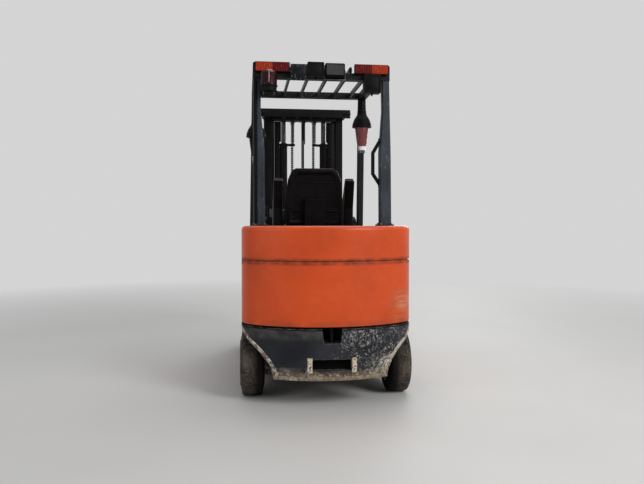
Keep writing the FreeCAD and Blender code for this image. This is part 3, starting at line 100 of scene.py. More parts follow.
class Surface:
    """One material under construction: a base coat, then stains and relief laid over it."""

    def __init__(self, name: str, colour: str, roughness: float, metallic: float, ior: float) -> None:
        """Start from the bare base coat.

        Args:
            name: name of the material.
            colour: sRGB hex colour of the clean surface.
            roughness: roughness of the clean surface.
            metallic: 0 for a dielectric, 1 for bare metal.
            ior: index of refraction, left alone on metals.
        """
        self.material = bpy.data.materials.new(name)
        self.material.use_nodes = True
        self.tree = self.material.node_tree
        self.tree.nodes.clear()
        self.shader = self.tree.nodes.new("ShaderNodeBsdfPrincipled")
        if metallic < 1:
            self.shader.inputs["IOR"].default_value = ior
        self.colour: Value = linear(colour)
        self.roughness: Value = roughness
        self.metallic: Value = metallic
        self.normal: Optional[bpy.types.NodeSocket] = None
        self.point = self.add("TexCoord", out="Object")
        self.axes = self.add("SeparateXYZ", {0: self.point}, out=None)

    def add(self, kind: str, inputs: Optional[dict] = None, out: Union[int, str, None] = 0, **settings):
        """Add one node with its settings and links.

        Args:
            kind: Blender's node type, without its leading ShaderNode.
            inputs: constants or sockets, by input name or index.
            out: the output to hand back, or None for all of them.
            settings: attributes set on the node.

        Returns:
            The chosen output socket, or the node's outputs.
        """
        made = self.tree.nodes.new("ShaderNode" + kind)
        for key, value in settings.items():
            setattr(made, key, value)
        for key, value in (inputs or {}).items():
            if isinstance(value, bpy.types.NodeSocket):
                self.tree.links.new(value, made.inputs[key])
            else:
                made.inputs[key].default_value = value
        return made.outputs if out is None else made.outputs[out]

    def patches(self, size: float, low: float, high: float, detail: float = 4.0,
                stretch: Point = (1, 1, 1), shift: float = 0.0) -> bpy.types.NodeSocket:
        """A mask of soft-edged patches.

        Args:
            size: patch size in millimetres.
            low: noise value where a patch begins.
            high: noise value where it is full.
            detail: octaves of finer edge.
            stretch: how many times denser the patches lie along each axis.
            shift: moves the pattern, so that two masks differ.

        Returns:
            A socket from 0 to 1.
        """
        place = self.add("Mapping", {"Vector": self.point, "Location": (shift, shift * 1.7, shift * 0.6),
                                     "Scale": tuple(stretch)})
        noise = self.add("TexNoise", {"Vector": place, "Scale": 1 / (size * MM), "Detail": detail})
        return self.add("MapRange", {"Value": noise, "From Min": low, "From Max": high})

    def within(self, axis: int, low: float, high: float, soft: float = 10.0) -> bpy.types.NodeSocket:
        """A mask that is 1 between two planes of the truck.

        Args:
            axis: 0, 1 or 2 for X, Y or Z.
            low: lower plane in truck millimetres.
            high: upper plane.
            soft: width of the fade at both planes.

        Returns:
            A socket from 0 to 1.
        """
        move = HALF_LENGTH if axis == 1 else 0.0
        a = self.add("MapRange", {"Value": self.axes[axis], "From Min": (low - soft) * MM - move,
                                  "From Max": low * MM - move})
        b = self.add("MapRange", {"Value": self.axes[axis], "From Min": (high + soft) * MM - move,
                                  "From Max": high * MM - move})
        return self.both(a, b)

    def both(self, *masks: Value) -> Value:
        """The product of several masks."""
        result = masks[0]
        for mask in masks[1:]:
            result = self.add("Math", {0: result, 1: mask}, operation="MULTIPLY")
        return result

    def facing(self, axis: int, low: float = 0.5, high: float = 0.9) -> bpy.types.NodeSocket:
        """A mask of the faces that look along an axis, such as the upper faces that gather dust."""
        normal = self.add("SeparateXYZ", {0: self.add("NewGeometry", out="Normal")}, out=None)
        return self.add("MapRange", {"Value": normal[axis], "From Min": low, "From Max": high})

    def edges(self, radius: float, reach: float = 0.12) -> bpy.types.NodeSocket:
        """A mask of the strips along sharp edges, where paint rubs through.

        Args:
            radius: width of the strip in millimetres.
            reach: how quickly the mask fills as the surface turns.

        Returns:
            A socket from 0 to 1.
        """
        soft = self.add("Bevel", {"Radius": radius * MM}, samples=4)
        flat = self.add("NewGeometry", out="Normal")
        turn = self.add("VectorMath", {0: soft, 1: flat}, out="Value", operation="DOT_PRODUCT")
        return self.add("MapRange", {"Value": turn, "From Min": 1 - 0.01, "From Max": 1 - reach})

    def stain(self, mask: Value, colour: Optional[str] = None, roughness: Optional[float] = None,
              metallic: Optional[float] = None) -> None:
        """Lay a coat over the surface where the mask allows.

        Args:
            mask: where and how strongly.
            colour: sRGB hex colour of the coat.
            roughness: its roughness.
            metallic: its metallic value.
        """
        if colour:
            self.colour = self.add("Mix", {0: mask, 6: self.colour, 7: linear(colour)}, out=2, data_type="RGBA")
        if roughness is not None:
            self.roughness = self.add("Mix", {0: mask, 2: self.roughness, 3: roughness})
        if metallic is not None:
            self.metallic = self.add("Mix", {0: mask, 2: self.metallic, 3: metallic})

    def soften(self, radius: float) -> None:
        """Round every sharp edge for the light, by a radius in millimetres."""
        self.normal = self.add("Bevel", {"Radius": radius * MM}, samples=4)

    def relief(self, height: Value, depth: float) -> None:
        """Raise the surface by a height mask.

        Args:
            height: socket from 0 to 1.
            depth: what 1 stands for, in millimetres.
        """
        inputs = {"Height": height, "Distance": depth * MM, "Strength": 1.0}
        if self.normal is not None:
            inputs["Normal"] = self.normal
        self.normal = self.add("Bump", inputs)

    def close(self) -> bpy.types.Material:
        """Link the layers to the shader.

        Returns:
            The finished material.
        """
        for name, value in (("Base Color", self.colour), ("Roughness", self.roughness),
                            ("Metallic", self.metallic), ("Normal", self.normal)):
            if isinstance(value, bpy.types.NodeSocket):
                self.tree.links.new(value, self.shader.inputs[name])
            elif value is not None:
                self.shader.inputs[name].default_value = value
        output = self.tree.nodes.new("ShaderNodeOutputMaterial")
        self.tree.links.new(self.shader.outputs[0], output.inputs["Surface"])
        return self.material


@dataclass(frozen=True)
class Finish:
    """What every finish has: its name, its slot in the record, a base colour and a gloss."""

    name: str
    slot: str
    colour: str
    roughness: float
    metallic: float = 0.0
    ior: float = 1.5
    gloss: float = 0.5

    def layers(self, s: Surface) -> None:
        """Lay nothing over the base coat."""

    def material(self) -> bpy.types.Material:
        """Make the material once and hand it out again after that.

        Returns:
            The finish's material.
        """
        made = bpy.data.materials.get(self.name)
        if made is None:
            surface = Surface(self.name, self.colour, self.roughness, self.metallic, self.ior)
            # grain, dust and overspray trap part of a dull coat's mirror light
            surface.shader.inputs["Specular IOR Level"].default_value = self.gloss
            self.layers(surface)
            made = surface.close()
        return made


@dataclass(frozen=True)
class SprayedEnamel(Finish):
    """Two-pack enamel sprayed over filled castings and sheet: satin, with orange peel, dust and rubbed edges."""

    shade: str = "#8f3212"
    dust: str = "#9a7c68"
    primer: str = "#6e625a"
    peel: float = 3.5
    scuff_x: tuple = (400.0, 545.0)
    scuff_z: tuple = (530.0, 660.0)
    seam_z: float = 866.0

    def layers(self, s: Surface) -> None:
        """Add shading of the coat, dust, scuffs, rubbed edges and orange peel."""
        # the coat is deeper in broad clouds, as a hand-sprayed coat on a casting is
        s.stain(s.both(s.patches(520, 0.45, 0.75, 3), 0.5), self.shade)
        s.stain(s.both(s.patches(60, 0.5, 0.85, 5, shift=3.1), 0.16), "#d9724a")
        # painted shade: the groove and the strip just above the lower edge are darkened in patches, where shade falls
        # at the gap
        groove = s.both(s.within(2, self.seam_z - 15, self.seam_z + 9, 14), s.patches(45, 0.25, 0.6), 0.68)
        s.stain(groove, "#4a1a0c", 0.6)
        s.stain(s.both(s.within(2, 482, 497, 26), s.patches(70, 0.35, 0.75, shift=7), 0.6), "#6b3a22", 0.65)
        # a pale rubbed smear low on the right corner, with fine streaks drawn out along the truck's side
        corner = s.both(s.within(0, *self.scuff_x, 70), s.within(1, -20, 420, 80), s.within(2, *self.scuff_z, 70))
        smear = s.patches(90, 0.4, 0.8, 5, stretch=(0.5, 0.5, 1.6))
        s.stain(s.both(corner, smear, 0.6), "#93603f", 0.6)
        streaks = s.patches(16, 0.5, 0.84, 7, stretch=(0.16, 0.16, 3.2), shift=6)
        s.stain(s.both(corner, streaks, 0.55), "#b58d6c", 0.62)
        heart = s.both(s.within(0, 440, 540, 50), s.within(1, -20, 420, 80), s.within(2, 590, 640, 35))
        s.stain(s.both(heart, s.patches(26, 0.35, 0.7, 7, stretch=(0.25, 0.25, 2.4), shift=12), 0.6), "#c59a78", 0.62)
        rubs = s.both(s.within(2, 520, 800, 60), s.patches(30, 0.66, 0.8, 6, stretch=(0.3, 0.3, 5), shift=9), 0.3)
        s.stain(rubs, "#cf8a62", 0.6)
        s.stain(s.both(s.facing(2), s.patches(150, 0.25, 0.8, 5), 0.55), self.dust, 0.7)
        worn = s.edges(4.0, 0.2)
        s.stain(s.both(worn, 0.35), "#dd8458", 0.5)
        s.stain(s.both(worn, s.patches(22, 0.6, 0.68, 6, shift=5)), self.primer, 0.65)
        s.soften(2.2)
        # orange peel is 1 mm in life, drawn at 3.5 mm so that it shows
        s.relief(s.patches(self.peel, 0.3, 0.7, 1), 0.02)
        s.relief(s.patches(170, 0.2, 0.8, 2, shift=2), 1.1)


@dataclass(frozen=True)
class ScrapedEnamel(Finish):
    """Dark enamel on rough castings and plate: matt, scraped to pale metal where the truck rubs walls and pallets."""

    bare: str = "#b9b3a8"
    rust: str = "#6f5643"
    cream: str = "#c9bca6"
    base_rear_y: float = 560.0
    arch_z: float = 150.0
    arch_y: float = 395.0
    arch_r: float = 312.0
    low_z: float = 165.0
    top_z: float = 467.0
    slot_half: float = 118.0
    slot_z: tuple = (215.0, 296.0)

    def layers(self, s: Surface) -> None:
        """Add the casting's texture, dust, long scrapes on the rear's right half, the bare rim and the rust."""
        s.stain(s.both(s.patches(240, 0.35, 0.75, 5), 0.6), "#3a3b3f", 0.62)
        s.stain(s.both(s.patches(26, 0.5, 0.8, 6, shift=4), 0.45), "#17181a")
        rear = s.within(1, -30, self.base_rear_y, 20)
        body = s.within(2, self.low_z - 10, self.top_z + 30, 5)
        # scrapes: crumpled worm-like marks, dense to the right of the pocket and thin to its left
        crumple = s.add("TexNoise", {"Vector": s.point, "Scale": 26.0, "Detail": 3.0}, out="Color")
        bent = s.add("Mix", {0: 0.06, 4: s.point, 5: crumple}, out=1, data_type="VECTOR")
        marks = s.add("TexNoise", {"Vector": bent, "Scale": 62.0, "Detail": 6.0, "Roughness": 0.68})
        thin = s.add("MapRange", {"Value": marks, "From Min": 0.55, "From Max": 0.615})
        right = s.add("MapRange", {"Value": s.axes[0], "From Min": -0.03, "From Max": 0.17})
        area = s.patches(190, 0.36, 0.56, 3, shift=1.3)
        s.stain(s.both(thin, right, area, rear, body, 0.85), self.bare, 0.5)
        # the corner beside the pocket is scraped to a fine upright grain
        grain = s.patches(13, 0.5, 0.6, 6, stretch=(1.7, 1, 0.5), shift=14)
        corner = s.both(s.within(0, 70, 420, 50), s.within(2, 380, 462, 22), rear)
        s.stain(s.both(grain, corner, s.patches(80, 0.3, 0.6, 3, shift=15), 0.5), "#8b8a90", 0.5)
        # a scraped flank along the right arch, down to the lower edge
        flank = s.add("MapRange", {"Value": s.axes[0], "From Min": 0.2, "From Max": 0.38})
        torn = s.add("MapRange", {"Value": marks, "From Min": 0.44, "From Max": 0.52})
        low = s.within(2, self.low_z, self.low_z + 95, 60)
        s.stain(s.both(torn, flank, low, rear, s.patches(120, 0.25, 0.45, 3, shift=5), 0.9), "#aaa498", 0.6)
        # scuffs at the lower left corner
        corner = s.both(s.within(0, -330, -120, 45), s.within(2, self.low_z, self.low_z + 58, 22), rear)
        s.stain(s.both(torn, corner, s.patches(90, 0.3, 0.5, 3, shift=16), 0.7), "#7a7671", 0.6)
        # a thinner second set of scratches that run with the wall
        long = s.patches(20, 0.6, 0.68, 6, stretch=(0.5, 0.5, 3.2), shift=8)
        s.stain(s.both(long, rear, body, right, 0.5), "#8d8a86", 0.5)
        # dusty grey patch at the upper left
        left_top = s.both(s.within(0, -560, -60, 60), s.within(2, 420, 480, 26), rear, s.patches(60, 0.3, 0.6))
        s.stain(s.both(left_top, 0.4), "#5b5652", 0.75)
        # rusty, chipped band along the bottom
        band = s.both(s.within(2, self.low_z - 8, self.low_z + 34, 22), rear)
        s.stain(s.both(band, s.patches(34, 0.36, 0.6, 6, shift=6), 0.9), self.rust, 0.75)
        s.stain(s.both(band, s.patches(16, 0.52, 0.62, 6, shift=2.2), 0.7), "#a59a87", 0.6)
        # cream worn ends of the lower slot
        for side in (-1, 1):
            ends = sorted((side * (self.slot_half + 2), side * (self.slot_half + 26)))
            end = s.both(s.within(0, *ends, 5), s.within(2, *self.slot_z, 6), s.within(1, -20, 40, 10))
            s.stain(s.both(end, s.patches(15, 0.34, 0.5, 6, shift=side + 3)), self.cream, 0.6)
        # painted shade: the recessed joint under the counterweight is painted near black
        s.stain(s.both(s.within(2, 461, 483, 3), rear, 0.95), "#070606", 0.9)
        s.stain(s.both(s.facing(2), s.patches(110, 0.3, 0.8), 0.5), "#625a52", 0.8)
        # painted shade: the insides of the lower slot and the drawbar pocket are painted black
        slot = s.both(s.within(0, -116, 116, 2), s.within(2, 223, 288, 2), s.within(1, 10, 90, 3))
        pocket = s.both(s.within(0, -61, 61, 2), s.within(2, 386, 490, 2), s.within(1, 5, 140, 3))
        s.stain(s.add("Math", {0: slot, 1: pocket}, operation="MAXIMUM"), "#020202", 0.95)
        worn = s.edges(5.0, 0.2)
        s.stain(s.both(worn, s.patches(30, 0.42, 0.6, 6, shift=11), 0.85), "#8f8a83", 0.5)
        s.soften(2.5)
        # sand-cast skin, 2 mm grains drawn at 5 mm
        s.relief(s.patches(5, 0.25, 0.75, 3), 0.12)


@dataclass(frozen=True)
class PowderCoat(Finish):
    """Powder coat baked on tube and plate: an even satin skin with fine peel, scratched by hands and ladders."""

    light: str = "#566069"
    chip: str = "#9a9a98"
    scratch: float = 0.4

    def layers(self, s: Surface) -> None:
        """Add cloudy handling marks, upright scratches, dust on top and worn edges."""
        s.stain(s.both(s.patches(130, 0.4, 0.75, 5, stretch=(1, 1, 0.35)), 0.5), self.light, self.roughness + 0.08)
        s.stain(s.both(s.patches(14, 0.62, 0.7, 5, stretch=(2, 2, 0.22), shift=3), self.scratch), self.chip, 0.5)
        s.stain(s.both(s.facing(2), s.patches(120, 0.3, 0.8), 0.5), "#75706a", 0.75)
        worn = s.edges(3.0, 0.2)
        s.stain(s.both(worn, s.patches(24, 0.46, 0.62, 5, shift=8), 0.7), self.chip, 0.5)
        s.soften(2.0)
        s.relief(s.patches(4, 0.3, 0.7, 1), 0.03)


@dataclass(frozen=True)
class PillarCoat(PowderCoat):
    """The same powder coat on the guard's legs: the front pair is darkened to near black as painted shade."""

    front_shade: str = "#100e0d"
    front_y: tuple = (1400.0, 1760.0)

    def layers(self, s: Surface) -> None:
        """Add the powder coat's layers, then painted shade on the front legs."""
        super().layers(s)
        # painted shade: the front legs are darkened almost all over
        s.stain(s.both(s.within(1, *self.front_y, 20), s.patches(60, 0.1, 0.4, 4, shift=9), 0.9), self.front_shade, 0.6)


@dataclass(frozen=True)
class MastEnamel(Finish):
    """Black enamel on rolled channels: deep and dull, with polished greasy tracks where the rollers run."""

    track: str = "#3a3836"
    track_x: tuple = (226.0, 332.0)
    track_y: tuple = (1928.0, 2037.0)

    def layers(self, s: Surface) -> None:
        """Add grime, polished roller tracks, grease and worn edges."""
        s.stain(s.both(s.patches(90, 0.4, 0.8, 5, stretch=(1, 1, 0.5)), 0.6), "#1b1a1b", 0.6)
        # the insides of the channels, both sides of the truck
        wide = s.add("Math", {0: s.axes[0]}, operation="ABSOLUTE")
        inside = s.add("MapRange", {"Value": wide, "From Min": (self.track_x[0] - 1) * MM,
                                    "From Max": self.track_x[0] * MM})
        outside = s.add("MapRange", {"Value": wide, "From Min": (self.track_x[1] + 1) * MM,
                                     "From Max": self.track_x[1] * MM})
        flange = s.both(inside, outside, s.within(1, *self.track_y, 1))
        s.stain(s.both(flange, s.patches(40, 0.3, 0.6, 5, stretch=(1, 1, 0.1), shift=2), 0.9), self.track, 0.3, 0.9)
        s.stain(s.both(s.patches(30, 0.55, 0.7, 5, shift=6), 0.4), "#241c16", 0.35)
        worn = s.edges(2.5, 0.2)
        s.stain(s.both(worn, s.patches(26, 0.5, 0.64, 5, shift=9), 0.6), "#77736e", 0.45)
        s.soften(1.8)
        # mill scale under the coat, 3 mm pits drawn at 6 mm
        s.relief(s.patches(6, 0.3, 0.7, 2), 0.05)


@dataclass(frozen=True)
class WornSteel(Finish):
    """Forged or rolled steel without paint: brown where it is left alone and scraped bright where loads slide."""

    rust: str = "#4d3d32"
    bright: str = "#8f8c87"
    along: Point = (1.0, 0.08, 1.0)
    shine: float = 1.0

    def layers(self, s: Surface) -> None:
        """Add rust patches, slide marks along the blade and bright edges."""
        s.stain(s.both(s.patches(110, 0.4, 0.7, 6), 0.7), self.rust, 0.7, 0.2)
        s.stain(s.both(s.patches(14, 0.46, 0.74, 6, stretch=self.along, shift=4), 0.6), self.bright, 0.35, self.shine)
        s.stain(s.both(s.edges(4.0, 0.2), 0.6), self.bright, 0.35, self.shine)
        s.soften(2.5)
        s.relief(s.patches(7, 0.3, 0.7, 4), 0.08)


@dataclass(frozen=True)
class WornRim(Finish):
    """Rim of a casting, ground bare on walls and pallets: a pale crust over patches of old enamel and rust."""

    enamel: str = "#1d1c1e"
    rust: str = "#6b4f3c"
    fresh: str = "#d2cabb"
    tan: str = "#716350"
    tan_z: float = 186.0

    def layers(self, s: Surface) -> None:
        """Add rust, leftovers of the enamel, freshly scraped spots and the tan lower edge."""
        s.stain(s.both(s.patches(60, 0.42, 0.6, 5), 0.75), self.rust, 0.8)
        s.stain(s.both(s.patches(17, 0.52, 0.6, 6, shift=2), 0.85), self.enamel, 0.6)
        s.stain(s.both(s.patches(24, 0.52, 0.62, 6, shift=5), 0.8), self.fresh, 0.5)
        # the lower edge, ground on the floor's kerbs, has gone tan
        s.stain(s.both(s.within(2, -50, self.tan_z, 10), s.patches(45, 0.2, 0.5, 4, shift=9), 0.8), self.tan, 0.8)
        s.soften(1.5)
        s.relief(s.patches(6, 0.3, 0.7, 3, shift=4), 0.1)


@dataclass(frozen=True)
class MachinedSteel(Finish):
    """Turned and zinc-plated steel: bright grey with fine tool rings, dulled by dust."""

    ring: float = 2.0
    grime: str = "#4a453f"

    def layers(self, s: Surface) -> None:
        """Add tool rings and grime."""
        s.stain(s.both(s.patches(18, 0.45, 0.7, 5), 0.6), self.grime, 0.6, 0.5)
        s.soften(0.8)
        # turning marks are 0.2 mm apart, drawn at 2 mm
        s.relief(s.patches(self.ring, 0.3, 0.7, 0, stretch=(1, 0.1, 1)), 0.02)


@dataclass(frozen=True)
class HardChrome(Finish):
    """Hard chrome ground round: a dark mirror under a brown oil film that runs lengthwise."""

    oil: str = "#262321"

    def layers(self, s: Surface) -> None:
        """Add the oil film."""
        s.stain(s.both(s.patches(60, 0.4, 0.75, 4, stretch=(1, 1, 0.2)), 0.5), self.oil, 0.3)


@dataclass(frozen=True)
class SolidRubber(Finish):
    """Press-cured solid rubber: matt black gone brown-grey with floor dust, cracked finely at the shoulders."""

    dust: str = "#574f47"
    cut: str = "#12100f"
    dust_and_shade_x: tuple = (432.0, 474.0)

    def layers(self, s: Surface) -> None:
        """Add floor dust, thickest on the outer half of the tread, which leaves the inner part near black as painted
        shade, and dark scrapes, grain and hair cracks.
        """
        # painted shade: the dust mask keeps the inner part of the tread near black, for the shade under the arch
        wide = s.add("Math", {0: s.axes[0]}, operation="ABSOLUTE")
        outer = s.add("MapRange", {"Value": wide, "From Min": self.dust_and_shade_x[0] * MM, "From Max": self.dust_and_shade_x[1] * MM,
                                   "To Min": 0.06})
        s.stain(s.both(s.patches(75, 0.25, 0.65, 6), outer, 0.85), self.dust, 0.95)
        s.stain(s.both(s.patches(12, 0.5, 0.68, 6, shift=2), outer, 0.5), "#776e63", 0.95)
        s.stain(s.both(s.patches(22, 0.6, 0.7, 6, stretch=(0.4, 2, 2), shift=5), 0.8), self.cut, 0.8)
        s.relief(s.patches(4, 0.3, 0.7, 4), 0.15)
        # hair cracks are 0.3 mm wide in life, drawn at 1 mm
        cell = s.add("TexVoronoi", {"Vector": s.point, "Scale": 60.0}, feature="DISTANCE_TO_EDGE")
        s.relief(s.add("MapRange", {"Value": cell, "From Min": 0.0, "From Max": 0.05}), 0.25)


@dataclass(frozen=True)
class MouldedPlastic(Finish):
    """Glass-filled polypropylene, moulded against spark-eroded steel: black, matt, with a leather-like grain."""

    grain: float = 2.4
    dust: str = "#19191b"

    def layers(self, s: Surface) -> None:
        """Add the moulded grain, dust in it and rubbed edges."""
        s.stain(s.both(s.patches(80, 0.4, 0.8, 5), 0.35), self.dust, 0.75)
        s.stain(s.both(s.facing(2), s.patches(60, 0.3, 0.75, 5, shift=3), 0.4), "#4f4c4a", 0.8)
        s.stain(s.both(s.edges(2.0, 0.2), 0.3), "#2c2c30", 0.4)
        s.soften(1.6)
        # the grain is 0.8 mm, drawn at 2.4 mm
        cell = s.add("TexVoronoi", {"Vector": s.point, "Scale": 1 / (self.grain * MM)})
        s.relief(cell, 0.05)


@dataclass(frozen=True)
class CoatedFabric(Finish):
    """Vinyl-coated fabric, embossed: soft black sheen, fine pebble grain, rubbed paler where drivers sit."""

    pebble: float = 3.0
    rub: str = "#2b2a2c"

    def layers(self, s: Surface) -> None:
        """Add pebble grain, wrinkles and rubbed places."""
        s.shader.inputs["Sheen Weight"].default_value = 0.15
        s.shader.inputs["Sheen Roughness"].default_value = 0.4
        s.stain(s.both(s.patches(110, 0.4, 0.8, 4), 0.6), self.rub, 0.42)
        # pebbles are 1 mm, drawn at 3 mm
        cell = s.add("TexVoronoi", {"Vector": s.point, "Scale": 1 / (self.pebble * MM)}, feature="SMOOTH_F1")
        s.relief(cell, 0.12)
        s.relief(s.patches(45, 0.3, 0.7, 3, stretch=(1, 2.2, 1), shift=5), 0.9)


@dataclass(frozen=True)
class MouldedLens(Finish):
    """Polycarbonate lens, injection moulded: deep clear colour over small prisms that break up the light."""

    prism: float = 9.0
    clear: float = 0.12
    depth: float = 0.25
    haze: str = "#3a1d18"
    coat: float = 0.15

    def layers(self, s: Surface) -> None:
        """Add the prisms, a light haze of dust and the clear body."""
        s.shader.inputs["Transmission Weight"].default_value = self.clear
        s.shader.inputs["Coat Weight"].default_value = self.coat
        s.shader.inputs["Coat Roughness"].default_value = 0.06
        s.stain(s.both(s.patches(40, 0.4, 0.8, 5), 0.25), self.haze, 0.5)
        ridge = s.add("TexWave", {"Vector": s.point, "Scale": 1 / (self.prism * MM) / 6.3, "Distortion": 0.0},
                      out="Fac", bands_direction="X")
        s.relief(ridge, self.depth)


@dataclass(frozen=True)
class WrappedRubber(Finish):
    """Hydraulic hose cover, cured in a cloth wrap: dull black with the print of the weave."""

    weave: float = 3.0

    def layers(self, s: Surface) -> None:
        """Add the weave print and oily dust."""
        s.stain(s.both(s.patches(40, 0.4, 0.7, 5), 0.5), "#39342f", 0.75)
        cross = s.add("TexChecker", {"Vector": s.point, "Scale": 1 / (self.weave * MM)}, out="Fac")
        s.relief(cross, 0.06)


@dataclass(frozen=True)
class RibbedRubber(Finish):
    """Calendered rubber matting: dusty black; its ribs are modelled, and this adds the worn sheen and grit."""

    def layers(self, s: Surface) -> None:
        """Add grit and trodden places."""
        s.stain(s.both(s.patches(160, 0.4, 0.7, 5), 0.7), "#4a443d", 0.9)
        s.stain(s.both(s.patches(10, 0.6, 0.7, 5, shift=3), 0.6), "#6b6359", 0.9)
        s.relief(s.patches(3, 0.3, 0.7, 2), 0.1)


ORANGE = SprayedEnamel("two_pack_enamel_sprayed_orange", "orange_paint", "#cb4a1b", 0.36, gloss=0.26)
DARK = ScrapedEnamel("chassis_enamel_brushed_dark", "dark_paint", "#1a1b20", 0.5, gloss=0.16)
GUARD = PillarCoat("powder_coat_baked_blue_grey", "guard_paint", "#1f252c", 0.42, light="#4a5560", gloss=0.2,
                   scratch=0.25)
# painted shade: the guard's blue-grey powder coat made near black for the roof, the pillar feet and the junction box
GUARD_SHADED = PowderCoat("powder_coat_baked_blue_grey_painted_shade", "guard_paint", "#0c0f13", 0.42, light="#171c22", gloss=0.11)
MAST = MastEnamel("mast_enamel_dipped_black", "mast_paint", "#070708", 0.5, gloss=0.1)
FORK = WornSteel("forged_steel_worn", "bare_steel", "#4b4743", 0.45, metallic=0.7)
STEEL = MachinedSteel("zinc_plated_steel_turned", "bare_steel", "#625f5a", 0.45, metallic=1.0)
CHROME = HardChrome("hard_chrome_ground", "chrome_rod", "#3a3939", 0.2, metallic=1.0)
WHEEL = PowderCoat("wheel_enamel_sprayed_grey", "wheel_paint", "#6a645c", 0.55, light="#847b6f", chip="#4a3a2e",
                   scratch=0.2, gloss=0.2)
TYRE = SolidRubber("solid_tyre_rubber_press_cured", "tyre_rubber", "#100f0e", 0.88, ior=1.52, gloss=0.08)
PLASTIC = MouldedPlastic("polypropylene_moulded_black", "black_plastic", "#050506", 0.5, ior=1.49, gloss=0.09)
MAT = RibbedRubber("rubber_matting_calendered", "mat_rubber", "#191716", 0.85, ior=1.52, gloss=0.1)
VINYL = CoatedFabric("vinyl_coated_fabric_embossed", "seat_vinyl", "#09090b", 0.36, ior=1.52, gloss=0.14)
BATTERY = PowderCoat("acid_proof_enamel_dipped", "battery_steel", "#2c2d2f", 0.5, light="#424345", gloss=0.25)
RED = MouldedLens("polycarbonate_lens_moulded_red", "red_lens", "#600204", 0.2, ior=1.58, gloss=0.03, haze="#380b09",
                   coat=0.08)
DUSTY = MouldedLens("polycarbonate_cone_weathered_red", "red_lens", "#7a3f42", 0.3, ior=1.58, gloss=0.1)
AMBER = MouldedLens("polycarbonate_lens_moulded_amber", "amber_lens", "#a32d06", 0.2, ior=1.58, gloss=0.04, haze="#581f0c")
MAROON = MouldedLens("polycarbonate_dome_moulded_maroon", "red_lens", "#22050a", 0.24, ior=1.58, gloss=0.05, coat=0.05)
# painted highlight: a pale rose for the strip that stands in for the glint on the beacon's dome
BEACON_GLINT = MouldedLens("polycarbonate_strip_painted_highlight_rose", "red_lens", "#a85c62", 0.2, ior=1.58, depth=0.1)
CLEAR = MouldedLens("polycarbonate_lens_moulded_clear", "clear_lens", "#3b4046", 0.12, ior=1.58, clear=0.75,
                    haze="#6d7378")
OPAL = MouldedLens("polycarbonate_lens_moulded_opal", "clear_lens", "#f0f0ee", 0.3, ior=1.58, clear=0.1, depth=0.1,
                   haze="#c9c8c4")
HOSE = WrappedRubber("hose_rubber_cloth_wrapped", "hose_rubber", "#131211", 0.65, ior=1.52, gloss=0.15)
WORN_RIM = WornRim("casting_rim_worn_to_metal", "bare_steel", "#aaa396", 0.6, gloss=0.2)
CHAIN = WornSteel("chain_steel_oiled", "chain_steel", "#1f1d1b", 0.4, metallic=0.8, bright="#45413d")


